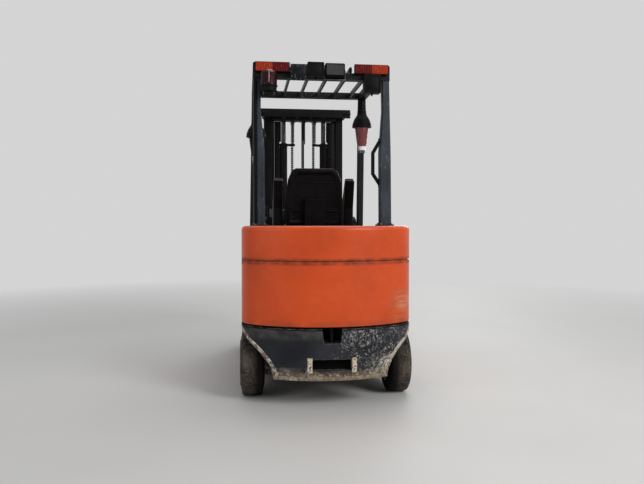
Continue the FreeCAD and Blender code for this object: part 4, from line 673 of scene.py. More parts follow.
class Shape:
    """A mesh being built, in truck millimetres, that ends as one named piece."""

    def __init__(self, *finishes: Finish) -> None:
        """Start empty.

        Args:
            finishes: finishes of the piece; faces take the one that `coat` points at.
        """
        self.points: list = []
        self.faces: list = []
        self.coats: list = []
        self.finishes = finishes
        self.coat = 0

    def take(self, points: Iterable[Vector], faces: Iterable[Sequence[int]]) -> None:
        """Add points and faces.

        Args:
            points: points in truck millimetres.
            faces: their indices, from 0 in this batch.
        """
        start = len(self.points)
        self.points += [Vector(p) for p in points]
        for face in faces:
            self.faces.append([start + i for i in face])
            self.coats.append(self.coat)

    def box(self, x: tuple, y: tuple, z: tuple, soft: float = 0.0, turn: Optional[Matrix] = None) -> None:
        """Add a box with bevelled edges.

        Args:
            x: its two X planes.
            y: its two Y planes.
            z: its two Z planes.
            soft: bevel width.
            turn: a turn about the box's own middle.
        """
        shape = bmesh.new()
        bmesh.ops.create_cube(shape, size=1)
        size = Vector((x[1] - x[0], y[1] - y[0], z[1] - z[0]))
        for v in shape.verts:
            v.co = Vector((v.co.x * size.x, v.co.y * size.y, v.co.z * size.z))
        if soft:
            bmesh.ops.bevel(shape, geom=shape.edges[:], offset=soft, segments=2, profile=0.5, affect="EDGES")
        middle = Vector(((x[0] + x[1]) / 2, (y[0] + y[1]) / 2, (z[0] + z[1]) / 2))
        turn = turn or Matrix.Identity(3)
        shape.verts.index_update()
        self.take([turn @ v.co + middle for v in shape.verts], [[v.index for v in f.verts] for f in shape.faces])
        shape.free()

    def lathe(self, rows: Sequence[tuple], centre: Point, axis: Vector, steps: int = 32,
              wave: Optional[Callable[[int, int], float]] = None, caps: bool = True) -> None:
        """Add a body turned about an axis.

        Args:
            rows: (distance along the axis, radius) from one end to the other.
            centre: where distance 0 lies.
            axis: direction of the axis.
            steps: facets round.
            wave: gives an extra radius for a row and a step.
            caps: whether the two ends are closed.
        """
        turn = Vector(axis).to_track_quat("Z", "Y").to_matrix()
        ring, points = [], []
        for i, (along, radius) in enumerate(rows):
            if radius < 0.01:
                ring.append([len(points)] * steps)
                points.append(Vector((0, 0, along)))
                continue
            ring.append(list(range(len(points), len(points) + steps)))
            for k in range(steps):
                a = 2 * math.pi * k / steps
                r = radius + (wave(i, k) if wave else 0.0)
                points.append(Vector((r * math.cos(a), r * math.sin(a), along)))
        faces = []
        for low, high in zip(ring, ring[1:]):
            for k in range(steps):
                n = (k + 1) % steps
                face = [low[k], low[n], high[n], high[k]]
                face = [p for i, p in enumerate(face) if p != face[i - 1]]
                if len(face) > 2:
                    faces.append(face)
        for ends in (ring[0][::-1], ring[-1]):
            if caps and len(set(ends)) > 2:
                faces.append(ends)
        self.take([turn @ p + Vector(centre) for p in points], faces)

    def sweep(self, path: Sequence[Point], section: Sequence[tuple], up: Point = (0, 0, 1),
              closed: bool = False) -> None:
        """Draw a flat section along a path.

        Args:
            path: points of the path.
            section: (sideways, up) outline of the section.
            up: direction that the section's up leans to.
            closed: whether the path joins its own start.
        """
        path = [Vector(p) for p in path]
        count = len(path)
        points = []
        for i, p in enumerate(path):
            before = path[i - 1] if i or closed else p
            after = path[(i + 1) % count] if i < count - 1 or closed else p
            ahead = (after - before).normalized()
            side = ahead.cross(Vector(up)).normalized()
            over = side.cross(ahead).normalized()
            points += [p + side * a + over * b for a, b in section]
        n = len(section)
        faces = []
        for i in range(count if closed else count - 1):
            j = (i + 1) % count
            faces += [[i * n + k, i * n + (k + 1) % n, j * n + (k + 1) % n, j * n + k] for k in range(n)]
        if not closed:
            faces += [list(range(n))[::-1], list(range((count - 1) * n, count * n))]
        self.take(points, faces)

    def tube(self, path: Sequence[Point], radius: float, sides: int = 12, up: Point = (0, 0.02, 1)) -> None:
        """Draw a round tube along a path.

        Args:
            path: points of its centre line.
            radius: its radius.
            sides: facets round.
            up: any direction that the path never runs along.
        """
        turns = [2 * math.pi * k / sides for k in range(sides)]
        self.sweep(path, [(radius * math.cos(a), radius * math.sin(a)) for a in turns], up)

    def bolt(self, seat: Point, axis: Vector, across: float = 17.0, head: float = 8.0) -> None:
        """Add a hexagon head on its washer.

        Args:
            seat: point on the face that it is tightened against.
            axis: direction that its head looks.
            across: width across flats.
            head: height of the head.
        """
        r = across / 2 / math.cos(math.pi / 6)
        self.lathe([(0, 0), (0, r * 1.25), (1.8, r * 1.25), (2.0, r * 1.15), (2.0, 0)], seat, axis, 20)
        base = Vector(seat) + Vector(axis).normalized() * 2.0
        self.lathe([(0, r), (head - 1.2, r), (head, r * 0.86), (head, 0)], base, axis, 6)

    def mirror(self) -> None:
        """Add the twin of everything so far on the truck's other side."""
        points, faces, coats = list(self.points), list(self.faces), list(self.coats)
        start = len(points)
        self.points += [Vector((-p.x, p.y, p.z)) for p in points]
        self.faces += [[start + i for i in reversed(face)] for face in faces]
        self.coats += coats

    def place(self, name: str, body: Body, smooth: float = 38.0, inside: bool = True) -> bpy.types.Object:
        """Make the piece and let it ride.

        Args:
            name: name of the piece.
            body: the CAD body that it rides on.
            smooth: edges sharper than this many degrees stay sharp.
            inside: whether to turn all faces outward.

        Returns:
            The new object.
        """
        mesh = bpy.data.meshes.new(name)
        mesh.from_pydata([metres(*p) for p in self.points], [], self.faces)
        for finish in self.finishes:
            mesh.materials.append(finish.material())
        mesh.polygons.foreach_set("material_index", self.coats)
        shape = bmesh.new()
        shape.from_mesh(mesh)
        bmesh.ops.remove_doubles(shape, verts=shape.verts[:], dist=1e-7)
        if inside:
            bmesh.ops.recalc_face_normals(shape, faces=shape.faces[:])
        shape.to_mesh(mesh)
        shape.free()
        piece = bpy.data.objects.new(name, mesh)
        bpy.context.scene.collection.objects.link(piece)
        shade(mesh, smooth)
        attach(piece, body.value)
        LOG.info("%s on %s: %d faces", name, body.value, len(mesh.polygons))
        return piece


def shade(mesh: bpy.types.Mesh, smooth: float) -> None:
    """Shade a mesh smooth, with its sharper edges kept.

    Args:
        mesh: the mesh.
        smooth: edges sharper than this many degrees stay sharp.
    """
    mesh.shade_smooth()
    mesh.set_sharp_from_angle(angle=math.radians(smooth))


def dress(finish: Finish, *nodes: str, smooth: float = 30.0) -> None:
    """Give CAD nodes their finish and shading.

    Args:
        finish: the finish.
        nodes: names of the nodes.
        smooth: edges sharper than this many degrees stay sharp.
    """
    for node in nodes:
        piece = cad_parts[node]
        if not piece.material_slots:
            piece.data.materials.append(None)
        for place in piece.material_slots:
            place.material = finish.material()
        shade(piece.data, smooth)
        LOG.info("%s dressed in %s", node, finish.name)


@dataclass
class Studio:
    """Floor, light and camera."""

    floor_half: float = 40.0
    backdrop: float = 0.66
    lens: float = 35.5
    eye: tuple = (-0.497, -5.308, 1.080)
    pitch: float = -1.53
    yaw: float = -6.75

    def build(self) -> None:
        """Make the stage."""
        self.floor()
        self.world()
        self.lights()
        self.camera()

    def seen(self, tree: bpy.types.NodeTree) -> bpy.types.NodeSocket:
        """Make the mask of rays that show the background: camera, glossy and transmission rays."""
        path = tree.nodes.new("ShaderNodeLightPath")
        mask = path.outputs["Is Camera Ray"]
        for other in ("Is Glossy Ray", "Is Transmission Ray"):
            either = tree.nodes.new("ShaderNodeMath")
            either.operation = "MAXIMUM"
            tree.links.new(mask, either.inputs[0])
            tree.links.new(path.outputs[other], either.inputs[1])
            mask = either.outputs[0]
        return mask

    def floor(self) -> None:
        """Lay a pale floor that fades into the backdrop far from the truck."""
        mesh = bpy.data.meshes.new("floor")
        h = self.floor_half
        mesh.from_pydata([(-h, -h, 0), (h, -h, 0), (h, h, 0), (-h, h, 0)], [], [(0, 1, 2, 3)])
        floor = bpy.data.objects.new("floor", mesh)
        bpy.context.scene.collection.objects.link(floor)
        s = Surface("floor_pale_sealed_concrete", "#bfbebb", 0.7, 0.0, 1.5)
        s.stain(s.both(s.patches(900, 0.35, 0.75, 4), 0.3), "#b2b0ad")
        far = s.add("VectorMath", {0: s.point}, out="Value", operation="LENGTH")
        fade = s.add("MapRange", {"Value": far, "From Min": 2.6, "From Max": 7.5})
        material = s.close()
        tree = s.tree
        white = tree.nodes.new("ShaderNodeEmission")
        white.inputs["Strength"].default_value = self.backdrop
        mix = tree.nodes.new("ShaderNodeMixShader")
        output = next(n for n in tree.nodes if n.type == "OUTPUT_MATERIAL")
        tree.links.new(s.both(fade, self.seen(tree)), mix.inputs[0])
        tree.links.new(s.shader.outputs[0], mix.inputs[1])
        tree.links.new(white.outputs[0], mix.inputs[2])
        tree.links.new(mix.outputs[0], output.inputs["Surface"])
        mesh.materials.append(material)

    def world(self) -> None:
        """Fill the room with soft light and show a pale backdrop behind the truck."""
        world = bpy.data.worlds.new("studio_world")
        bpy.context.scene.world = world
        world.use_nodes = True
        tree = world.node_tree
        tree.nodes.clear()
        room = tree.nodes.new("ShaderNodeBackground")
        room.inputs["Color"].default_value = (0.93, 0.96, 1.0, 1.0)
        room.inputs["Strength"].default_value = 0.42
        white = tree.nodes.new("ShaderNodeBackground")
        white.inputs["Color"].default_value = (1.0, 1.0, 1.0, 1.0)
        white.inputs["Strength"].default_value = self.backdrop
        mix = tree.nodes.new("ShaderNodeMixShader")
        output = tree.nodes.new("ShaderNodeOutputWorld")
        tree.links.new(self.seen(tree), mix.inputs[0])
        tree.links.new(room.outputs[0], mix.inputs[1])
        tree.links.new(white.outputs[0], mix.inputs[2])
        tree.links.new(mix.outputs[0], output.inputs["Surface"])

    def lights(self) -> None:
        """Hang a large key lamp to the right behind the camera, a fill and a top lamp."""
        for name, place, aim, size, power in (
                ("key_lamp", (4.2, -6.0, 4.2), (0.2, -1.2, 0.9), 3.0, 320.0),
                ("fill_lamp", (-5.0, -5.0, 3.0), (0.0, -0.8, 1.0), 3.5, 70.0),
                ("top_lamp", (0.6, 0.5, 5.6), (0.0, 0.0, 0.0), 3.5, 120.0),
                ("front_lamp", (3.5, 6.5, 3.5), (0.0, 0.5, 1.0), 3.0, 150.0)):
            data = bpy.data.lights.new(name, "AREA")
            data.shape = "DISK"
            data.size = size
            data.energy = power
            lamp = bpy.data.objects.new(name, data)
            lamp.location = place
            lamp.rotation_euler = (Vector(aim) - Vector(place)).to_track_quat("-Z", "Y").to_euler()
            bpy.context.scene.collection.objects.link(lamp)

    def camera(self) -> None:
        """Stand the camera where the photograph was taken."""
        data = bpy.data.cameras.new("camera")
        data.lens = self.lens
        data.sensor_width = 36.0
        camera = bpy.data.objects.new("camera", data)
        camera.location = self.eye
        camera.rotation_euler = (math.radians(90 + self.pitch), 0.0, math.radians(self.yaw))
        bpy.context.scene.collection.objects.link(camera)
        bpy.context.scene.camera = camera


@dataclass
class RearBody:
    """Counterweight, its dark base with the wheel arches, and the drawbar pin."""

    corner_x: float = 330.0
    corner_y: float = 310.0
    corner_r: float = 200.0
    arc_r: float = 750.0
    arch_y: float = 395.0
    arch_z: float = 150.0
    arch_r: float = 312.0
    bottom_z: float = 165.0
    lip_width: float = 24.0
    lip_proud: float = 2.0

    def build(self) -> None:
        """Dress the castings and add the rim along the arches and bottom edge."""
        dress(ORANGE, "counterweight")
        dress(DARK, "counterweight_base")
        dress(MAST, "drawbar_pin")
        self.rims()

    def skin_x(self, y: float) -> float:
        """Half width of the truck's rear outline at a distance from its rearmost point.

        Args:
            y: distance forward.

        Returns:
            The half width in millimetres.
        """
        if y >= self.corner_y:
            return self.corner_x + self.corner_r
        corner = self.corner_x + math.sqrt(max(self.corner_r ** 2 - (y - self.corner_y) ** 2, 0))
        arc = math.sqrt(max(self.arc_r ** 2 - (self.arc_r - y) ** 2, 0))
        touch = self.arc_r - self.arc_r * (self.arc_r - self.corner_y) / (self.arc_r - self.corner_r)
        return corner if y > touch else arc

    def rims(self) -> None:
        """Rolled rim that is worn to metal, along both arches and round the bottom edge."""
        shape = Shape(WORN_RIM)
        low = math.asin((self.bottom_z - self.arch_z) / self.arch_r)
        path = []
        for k in range(25):
            a = low + (math.pi / 2 - low) * k / 24
            y = self.arch_y - (self.arch_r + self.lip_width / 2 - 1) * math.cos(a)
            z = min(self.arch_z + (self.arch_r + self.lip_width / 2 - 1) * math.sin(a), 452.0)
            path.append(Vector((self.skin_x(y), y, max(z, self.bottom_z + 2))))
        self.ribbon(shape, path)
        shape.mirror()
        bottom = []
        edge_y = self.arch_y - self.arch_r * math.cos(low)
        edge_x = self.skin_x(edge_y)
        for k in range(41):
            x = edge_x * (1 - 2 * k / 40)
            bottom.append(Vector((x, self.arc_r - math.sqrt(self.arc_r ** 2 - x * x), self.bottom_z + self.lip_width / 2)))
        self.ribbon(shape, bottom)
        shape.place("base_rim", Body.CHASSIS, 50)

    def ribbon(self, shape: Shape, path: Sequence[Vector]) -> None:
        """Lay a flat rounded strip on the skin along a path.

        Args:
            shape: takes the strip.
            path: points on the skin.
        """
        w, t = self.lip_width / 2, self.lip_proud
        centre = Vector((0, self.arc_r, 0))
        points = []
        rows = [(-w, -2.0), (-w + 1, t * 0.6), (-w + 3, t), (w - 3, t), (w - 1, t * 0.6), (w, -2.0)]
        for i, p in enumerate(path):
            ahead = (path[min(i + 1, len(path) - 1)] - path[max(i - 1, 0)]).normalized()
            corner = Vector((math.copysign(self.corner_x, p.x), self.corner_y, 0))
            middle = centre if abs(p.x) < 450 else corner
            out = Vector((p.x - middle.x, p.y - middle.y, 0)).normalized()
            if p.y >= self.corner_y:
                out = Vector((math.copysign(1, p.x), 0, 0))
            side = ahead.cross(out).normalized()
            points += [p + side * a + out * b for a, b in rows]
        n = len(rows)
        faces = [[i * n + k, i * n + (k + 1) % n, (i + 1) * n + (k + 1) % n, (i + 1) * n + k]
                 for i in range(len(path) - 1) for k in range(n)]
        faces += [list(range(n))[::-1], list(range((len(path) - 1) * n, len(path) * n))]
        shape.take(points, faces)


@dataclass
class Wheel:
    """One wheel: its painted disc, the solid tyre round it, lug nuts and hub cap."""

    name: str
    side: int
    body: Body
    track: float
    axle_y: float
    radius: float
    width: float
    bore: float
    disc_face: float
    nuts: int
    nut_ring: float
    nut_across: float
    slope: float = 14.0
    lug_depth: float = 7.0
    steps: int = 144

    def build(self) -> None:
        """Replace the plain tyre and dress the disc."""
        dress(WHEEL, self.node("wheel"))
        self.tyre()
        self.hardware()

    def node(self, kind: str) -> str:
        """Name of a CAD node of this wheel."""
        end, hand = self.name.split("_")
        return f"{end}_{kind}_{hand}"

    def tyre(self) -> None:
        """Solid tyre with a rounded shoulder, rim bead and, on the driven wheels, cross lugs."""
        half, r, bore = self.width / 2, self.radius, self.bore
        side_x = lambda radius: half - self.slope * (radius - bore) / (r - bore)
        outer = [(half - 2, bore), (half, bore + 5), (half - 1, bore + 9), (side_x(bore + 12) - 3, bore + 13)]
        for share in (0.45, 0.7):
            at = bore + (r - bore) * share
            outer += [(side_x(at) - 3, at - 4), (side_x(at) - 0.5, at), (side_x(at) - 3, at + 4)]
        round_r = 15.0
        x_end = half - self.slope + 2
        for k in range(5):
            a = math.pi / 2 * k / 4
            outer.append((x_end - round_r + round_r * math.cos(a), r - round_r + round_r * math.sin(a)))
        outer += [(x_end * 0.55, r), (6, r), (1.5, r)]
        rows = [(-x, radius) for x, radius in outer] + [(x, radius) for x, radius in reversed(outer)]
        rows.append(rows[0])
        driven = self.name.startswith("front")

        def lug(row: int, step: int) -> float:
            """Depth of the groove between two lugs at a point of the tread."""
            x, radius = rows[row]
            phase = 0 if x < 0 else 3
            deep = driven and radius > r - round_r and abs(x) > 8 and (step + phase) % 6 == 0
            return -self.lug_depth if deep else 0.0

        shape = Shape(TYRE)
        shape.lathe(rows, (self.side * self.track, self.axle_y, r), X, self.steps, lug, caps=False)
        tyre = shape.place(f"tyre_{self.name}", self.body, 32)
        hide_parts(self.node("tyre"))

    def hardware(self) -> None:
        """Lug nuts on their studs, and the dust cap with its grease nipple."""
        shape = Shape(STEEL, WHEEL)
        out = X * self.side
        face = self.side * (self.track + self.disc_face - 3)
        r = self.nut_across / 2 / math.cos(math.pi / 6)
        for k in range(self.nuts):
            a = 2 * math.pi * (k + 0.5) / self.nuts
            seat = Vector((face, self.axle_y + self.nut_ring * math.cos(a), self.radius + self.nut_ring * math.sin(a)))
            shape.lathe([(0, 0), (0, r * 1.3), (3, r * 1.15), (3, 0)], seat, out, 20)
            shape.lathe([(2, r), (self.nut_across * 0.75, r), (self.nut_across * 0.85, r * 0.8),
                         (self.nut_across * 0.85, 0)], seat, out, 6)
            shape.lathe([(0, r * 0.5), (self.nut_across * 1.15, r * 0.5), (self.nut_across * 1.25, r * 0.38),
                         (self.nut_across * 1.25, 0)], seat, out, 12)
        cap_x = self.side * (self.track + self.disc_face + 24)
        cap = Vector((cap_x, self.axle_y, self.radius))
        shape.coat = 1
        shape.lathe([(-1, 30), (1.5, 30), (3, 27), (4.5, 16), (4.5, 0)], cap, out, 40)
        shape.coat = 0
        shape.lathe([(3, 5), (7, 5), (8, 3), (10, 3), (11, 4), (12, 2.4), (12, 0)], cap, out, 12)
        shape.place(f"nuts_{self.name}", self.body, 30)


@dataclass
class Pad:
    """A foam pad in a sewn cover, swelled by a cloth simulation and then quilted."""

    name: str
    low: tuple
    high: tuple
    origin: tuple = (0.0, 0.0, 0.0)
    lean: float = 0.0
    taper: float = 0.0
    soft: float = 26.0
    start_inset: float = 7.0
    cap: float = 9.0
    voxel: float = 7.0
    pressure: float = 4.0
    channels: tuple = ()
    channel_axis: int = 1
    face_axis: int = 2
    groove: float = 4.5

    def build(self, *nodes: str) -> bpy.types.Object:
        """Make the pad and let it stand for its CAD nodes.

        Args:
            nodes: CAD nodes that it replaces.

        Returns:
            The pad.
        """
        piece = self.block()
        self.swell(piece)
        self.quilt(piece)
        self.settle(piece)
        piece.data.materials.clear()
        piece.data.materials.append(VINYL.material())
        shade(piece.data, 75)
        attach(piece, Body.HOOD.value)
        if nodes:
            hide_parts(*nodes)
        LOG.info("%s: %d faces", self.name, len(piece.data.polygons))
        return piece

    def block(self) -> bpy.types.Object:
        """Rounded block, a little smaller than the pad, remeshed into even quads.

        Returns:
            The block, in its own upright frame.
        """
        shape = bmesh.new()
        bmesh.ops.create_cube(shape, size=1)
        inset = self.start_inset
        size = [h - l - 2 * inset for l, h in zip(self.low, self.high)]
        middle = [(h + l) / 2 for l, h in zip(self.low, self.high)]
        for v in shape.verts:
            pinch = 1.0 - (self.taper if v.co.z > 0 else 0.0)
            v.co = Vector((v.co.x * size[0] * pinch, v.co.y * size[1], v.co.z * size[2]))
        bmesh.ops.bevel(shape, geom=shape.edges[:], offset=self.soft, segments=5, profile=0.5, affect="EDGES",
                        clamp_overlap=True)
        for v in shape.verts:
            v.co = (v.co + Vector(middle)) * MM
        mesh = bpy.data.meshes.new(self.name)
        shape.to_mesh(mesh)
        shape.free()
        piece = bpy.data.objects.new(self.name, mesh)
        bpy.context.scene.collection.objects.link(piece)
        remesh = piece.modifiers.new("even_quads", "REMESH")
        remesh.mode = "VOXEL"
        remesh.voxel_size = self.voxel * MM
        self.bake(piece)
        return piece

    def bake(self, piece: bpy.types.Object) -> None:
        """Turn the modified mesh into the piece's own mesh."""
        graph = bpy.context.evaluated_depsgraph_get()
        mesh = bpy.data.meshes.new_from_object(piece.evaluated_get(graph))
        piece.modifiers.clear()
        piece.data = mesh

    def swell(self, piece: bpy.types.Object) -> None:
        """Blow the cover up as cloth and keep every point within the cap.

        Args:
            piece: the block; its mesh is changed.
        """
        rest = [v.co.copy() for v in piece.data.vertices]
        cloth = piece.modifiers.new("swell", "CLOTH")
        cloth.settings.use_pressure = True
        cloth.settings.uniform_pressure_force = self.pressure
        cloth.settings.effector_weights.gravity = 0
        cloth.settings.quality = 5
        scene = bpy.context.scene
        for number in range(1, 21):
            scene.frame_set(number)
        graph = bpy.context.evaluated_depsgraph_get()
        swollen = [v.co.copy() for v in piece.evaluated_get(graph).data.vertices]
        piece.modifiers.clear()
        scene.frame_set(1)
        cap = self.cap * MM
        for v, old, new in zip(piece.data.vertices, rest, swollen):
            move = new - old
            if move.length > cap:
                move *= cap / move.length
            v.co = old + move
        smooth = piece.modifiers.new("one_subdivision", "SUBSURF")
        smooth.levels = 1
        self.bake(piece)

    def quilt(self, piece: bpy.types.Object) -> None:
        """Sew channels across the face and keep the pad inside its CAD box.

        Args:
            piece: the pad; its mesh is changed.
        """
        face = self.face_axis
        top = self.high[face] * MM
        for v in piece.data.vertices:
            depth = 0.0
            near = max(0.0, 1 - abs(v.co[face] - top) / (26 * MM))
            for line in self.channels:
                gap = (v.co[self.channel_axis] - line * MM) / (5 * MM)
                depth += math.exp(-gap * gap)
            v.co[face] -= self.groove * MM * depth * min(1, near * 2)
            for axis in range(3):
                v.co[axis] = min(max(v.co[axis], self.low[axis] * MM), self.high[axis] * MM)

    def settle(self, piece: bpy.types.Object) -> None:
        """Lean the pad and carry it to its place."""
        place = Matrix.Translation(metres(*self.origin)) @ Matrix.Rotation(math.radians(self.lean), 4, "X")
        if self.origin == (0.0, 0.0, 0.0):
            place = Matrix.Translation((0, -HALF_LENGTH, 0))
        piece.data.transform(place)


@dataclass
class Seat:
    """Driver's seat on the hood: sewn cushion and back pad, moulded shell, hip wings and slide rails."""

    x: float = -25.0
    back_foot: tuple = (-25.0, 790.0, 1075.0)
    lean: float = 8.0
    back_half: float = 200.0
    back_h: float = 401.0
    back_t: float = 85.0

    def build(self) -> None:
        """Build the seat's soft and hard pieces."""
        dress(PLASTIC, "seat_base", "hip_restraints")
        Pad("seat_cushion_pad", (self.x - 206, 882, 1010.4), (self.x + 206, 1251, 1105), soft=34,
            channels=(960.0, 1040.0, 1120.0)).build("seat_cushion")
        Pad("seat_back_pad", (-178, 30, 6), (178, 85, 396), origin=self.back_foot, lean=self.lean, taper=0.2, soft=24,
            channels=(90.0, 170.0, 250.0, 330.0), channel_axis=2, face_axis=1, start_inset=5.0, cap=6.0).build()
        self.shell()
        self.rails()

    def to_back(self, x: float, y: float, z: float) -> Vector:
        """Carry a point of the upright back to its leaning place, in truck millimetres."""
        turn = Matrix.Rotation(math.radians(self.lean), 3, "X")
        return turn @ Vector((x, y, z)) + Vector(self.back_foot)

    def shell(self) -> None:
        """Moulded rear shell of the back: raised rim, recessed panel with a rib, and four blackened screws."""
        shape = Shape(PLASTIC, MAST)
        h, b = self.back_h, self.back_half
        outline = [(-b, 0), (b, 0), (b + 4, h * 0.35), (b - 14, h * 0.8), (b - 40, h * 0.955), (b - 70, h),
                   (-b + 70, h), (-b + 40, h * 0.955), (-b + 14, h * 0.8), (-b - 4, h * 0.35)]

        def ring(inset: float, depth: float) -> list:
            """One closed line of the shell, in from its outline and at a depth from its rear face."""
            middle = Vector((0, h / 2))
            line = []
            for px, pz in outline:
                p = Vector((px, pz))
                scale = 1 - inset / (p - middle).length
                q = middle + (p - middle) * scale
                line.append(self.to_back(q.x, depth, q.y))
            return line

        rings = [ring(6, 44), ring(0, 36), ring(0, 16), ring(4, 5), ring(12, 0.5), ring(34, 0), ring(40, 4),
                 ring(46, 8), ring(60, 9)]
        n = len(outline)
        points = [p for line in rings for p in line]
        faces = [[i * n + k, i * n + (k + 1) % n, (i + 1) * n + (k + 1) % n, (i + 1) * n + k]
                 for i in range(len(rings) - 1) for k in range(n)]
        faces += [list(range(n))[::-1], list(range((len(rings) - 1) * n, len(rings) * n))]
        shape.take(points, faces)
        turn = Matrix.Rotation(math.radians(self.lean), 3, "X")
        for z0, z1, half, proud in ((98, 110, 168, 0.5), (118, 124, 166, 3.5), (300, 306, 150, 3.5)):
            low, high = self.to_back(-half, proud, z0), self.to_back(half, proud + 9, z1)
            shape.box((low.x, high.x), (low.y, low.y + 9), (low.z, low.z + z1 - z0), 1.5, turn)
        shape.coat = 1
        out = turn @ Vector((0, -1, 0))
        for px in (-150, 150):
            for pz in (60, 280):
                shape.lathe([(0, 0), (0, 7), (2, 6.5), (3, 4), (3, 0)], self.to_back(px, 9, pz), out, 16)
        shell = shape.place("seat_back_shell", Body.HOOD, 40)
        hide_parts("seat_back")

    def rails(self) -> None:
        """Slide rails under the seat and the bar that frees them."""
        shape = Shape(STEEL, PLASTIC)
        for side in (-1, 1):
            x = self.x + side * 150
            shape.box((x - 16, x + 16), (1190, 1262), (951, 962), 1.5)
        bar = [(self.x - 120, 1246, 1000), (self.x - 120, 1262, 992), (self.x + 120, 1262, 992),
               (self.x + 120, 1246, 1000)]
        shape.tube(bar, 5, 10)
        shape.coat = 1
        shape.tube([(self.x - 60, 1262, 992), (self.x + 60, 1262, 992)], 9, 14)
        shape.place("seat_rails", Body.HOOD)


@dataclass
class Guard:
    """Overhead guard: pillars and roof, their foot plates, bolts and weld beads."""

    foot_z: float = 1075.2
    rear_foot: tuple = (378.0, 455.0, 455.0, 521.0)
    roof_half: float = 455.0
    rail_w: float = 50.0
    header_y: tuple = (525.0, 585.0)
    bars: tuple = (-330.0, -198.0, -66.0, 66.0, 198.0, 330.0)
    bar_z: float = 2103.0
    shade_strip_x: float = 438.0

    def build(self) -> None:
        """Dress the guard and add its fixings."""
        dress(GUARD, "guard_pillars")
        # painted shade: the roof takes the darkened copy of the guard's paint
        dress(GUARD_SHADED, "guard_roof")
        dress(PLASTIC, "assist_grip")
        self.feet()
        self.welds()
        self.grip_ends()
        self.painted_shade_strip()

    def feet(self) -> None:
        """Plates under the rear pillars, each held by four bolts."""
        # painted shade: the foot plates take the darkened copy of the guard's paint
        shape = Shape(GUARD_SHADED, STEEL)
        x0, x1, y0, y1 = self.rear_foot
        z = self.foot_z
        shape.box((x0 - 14, x1 + 14), (y0 - 20, y0 - 1), (z, z + 9), 2)
        shape.box((x0 - 14, x1 + 14), (y1 + 1, y1 + 32), (z, z + 9), 2)
        shape.box((x0 - 14, x0 - 1), (y0 - 20, y1 + 32), (z, z + 9), 2)
        shape.coat = 1
        for x in (x0 + 4, x1 - 4):
            shape.bolt((x, y1 + 18, z + 9), Z, 15, 8)
            shape.bolt((x, y0 - 10, z + 9), Z, 12, 6)
        shape.mirror()
        shape.place("guard_feet", Body.CHASSIS)

    def welds(self) -> None:
        """Weld beads where the roof bars and rails meet the headers."""
        shape = Shape(GUARD)
        rng = random.Random(7)
        for x in self.bars:
            for side in (-1, 1):
                for y in (self.header_y[1] + 1, 1417.0):
                    path = [(x + side * 8.5, y, self.bar_z + 3 + 3.0 * k) for k in range(10)]
                    self.bead(shape, path, rng)
        for side in (-1, 1):
            x = side * (self.roof_half - self.rail_w - 1)
            path = [(x, self.header_y[1] - 58 + 4 * k, 2088.5) for k in range(15)]
            self.bead(shape, path, rng)
        shape.place("guard_welds", Body.CHASSIS, 60)

    def painted_shade_strip(self) -> None:
        """Black strip up the outer edge of the left rear pillar, with its clips: painted shade along that edge, built
        as a duct.
        """
        shape = Shape(PLASTIC, MAST)
        rows = [(460.0, 1092.0), (469.5, 1237.0), (483.0, 1560.0), (500.0, 1716.0), (513.0, 1840.0), (532.0, 2036.0)]
        path = [(-self.shade_strip_x, y - 1.0, z) for y, z in rows]
        section = [(-10, -3), (-10, 7), (-6, 10.5), (6, 10.5), (10, 7), (10, -3)]
        shape.sweep(path, section, -Y)
        for (y0, z0), (y1, z1) in zip(rows, rows[1:]):
            z = (z0 + z1) / 2
            y = (y0 + y1) / 2 - 11.0
            shape.coat = 0
            shape.box((-self.shade_strip_x - 11.5, -self.shade_strip_x + 11.5), (y - 1.5, y + 6), (z - 7, z + 7), 1)
            shape.coat = 1
            shape.lathe([(0, 0), (0, 4), (2, 3.5), (2.5, 2), (2.5, 0)], (-self.shade_strip_x, y - 1.2, z), -Y, 10)
        shape.place("left_pillar_painted_shade_strip", Body.CHASSIS)

    def bead(self, shape: Shape, path: Sequence[tuple], rng: random.Random) -> None:
        """Lay one rippled weld bead.

        Args:
            shape: takes the bead.
            path: points along it.
            rng: gives each ripple its size.
        """
        points = []
        sides = 6
        ahead = (Vector(path[-1]) - Vector(path[0])).normalized()
        a, b = ahead.orthogonal().normalized(), ahead.cross(ahead.orthogonal()).normalized()
        for i, p in enumerate(path):
            r = 3.2 + rng.uniform(-0.5, 0.7) - (2.2 if i in (0, len(path) - 1) else 0.0)
            points += [Vector(p) + a * r * math.cos(2 * math.pi * k / sides) + b * r * math.sin(2 * math.pi * k / sides)
                       for k in range(sides)]
        faces = [[i * sides + k, i * sides + (k + 1) % sides, (i + 1) * sides + (k + 1) % sides, (i + 1) * sides + k]
                 for i in range(len(path) - 1) for k in range(sides)]
        faces += [list(range(sides))[::-1], list(range((len(path) - 1) * sides, len(path) * sides))]
        shape.take(points, faces)

    def grip_ends(self) -> None:
        """Flanges and screws at the two ends of the assist grip."""
        shape = Shape(PLASTIC, STEEL)
        y = 507.0
        for z in (1640.0, 1350.0):
            shape.lathe([(0, 18), (5, 18), (7, 15), (7, 0)], (383, y, z), -X, 24)
            shape.coat = 1
            for dz in (-14, 14):
                shape.lathe([(0, 0), (0, 3.5), (9, 3.5), (10, 2), (10, 0)], (383, y, z + dz * 0.9), -X, 10)
            shape.coat = 0
        shape.place("grip_flanges", Body.CHASSIS)


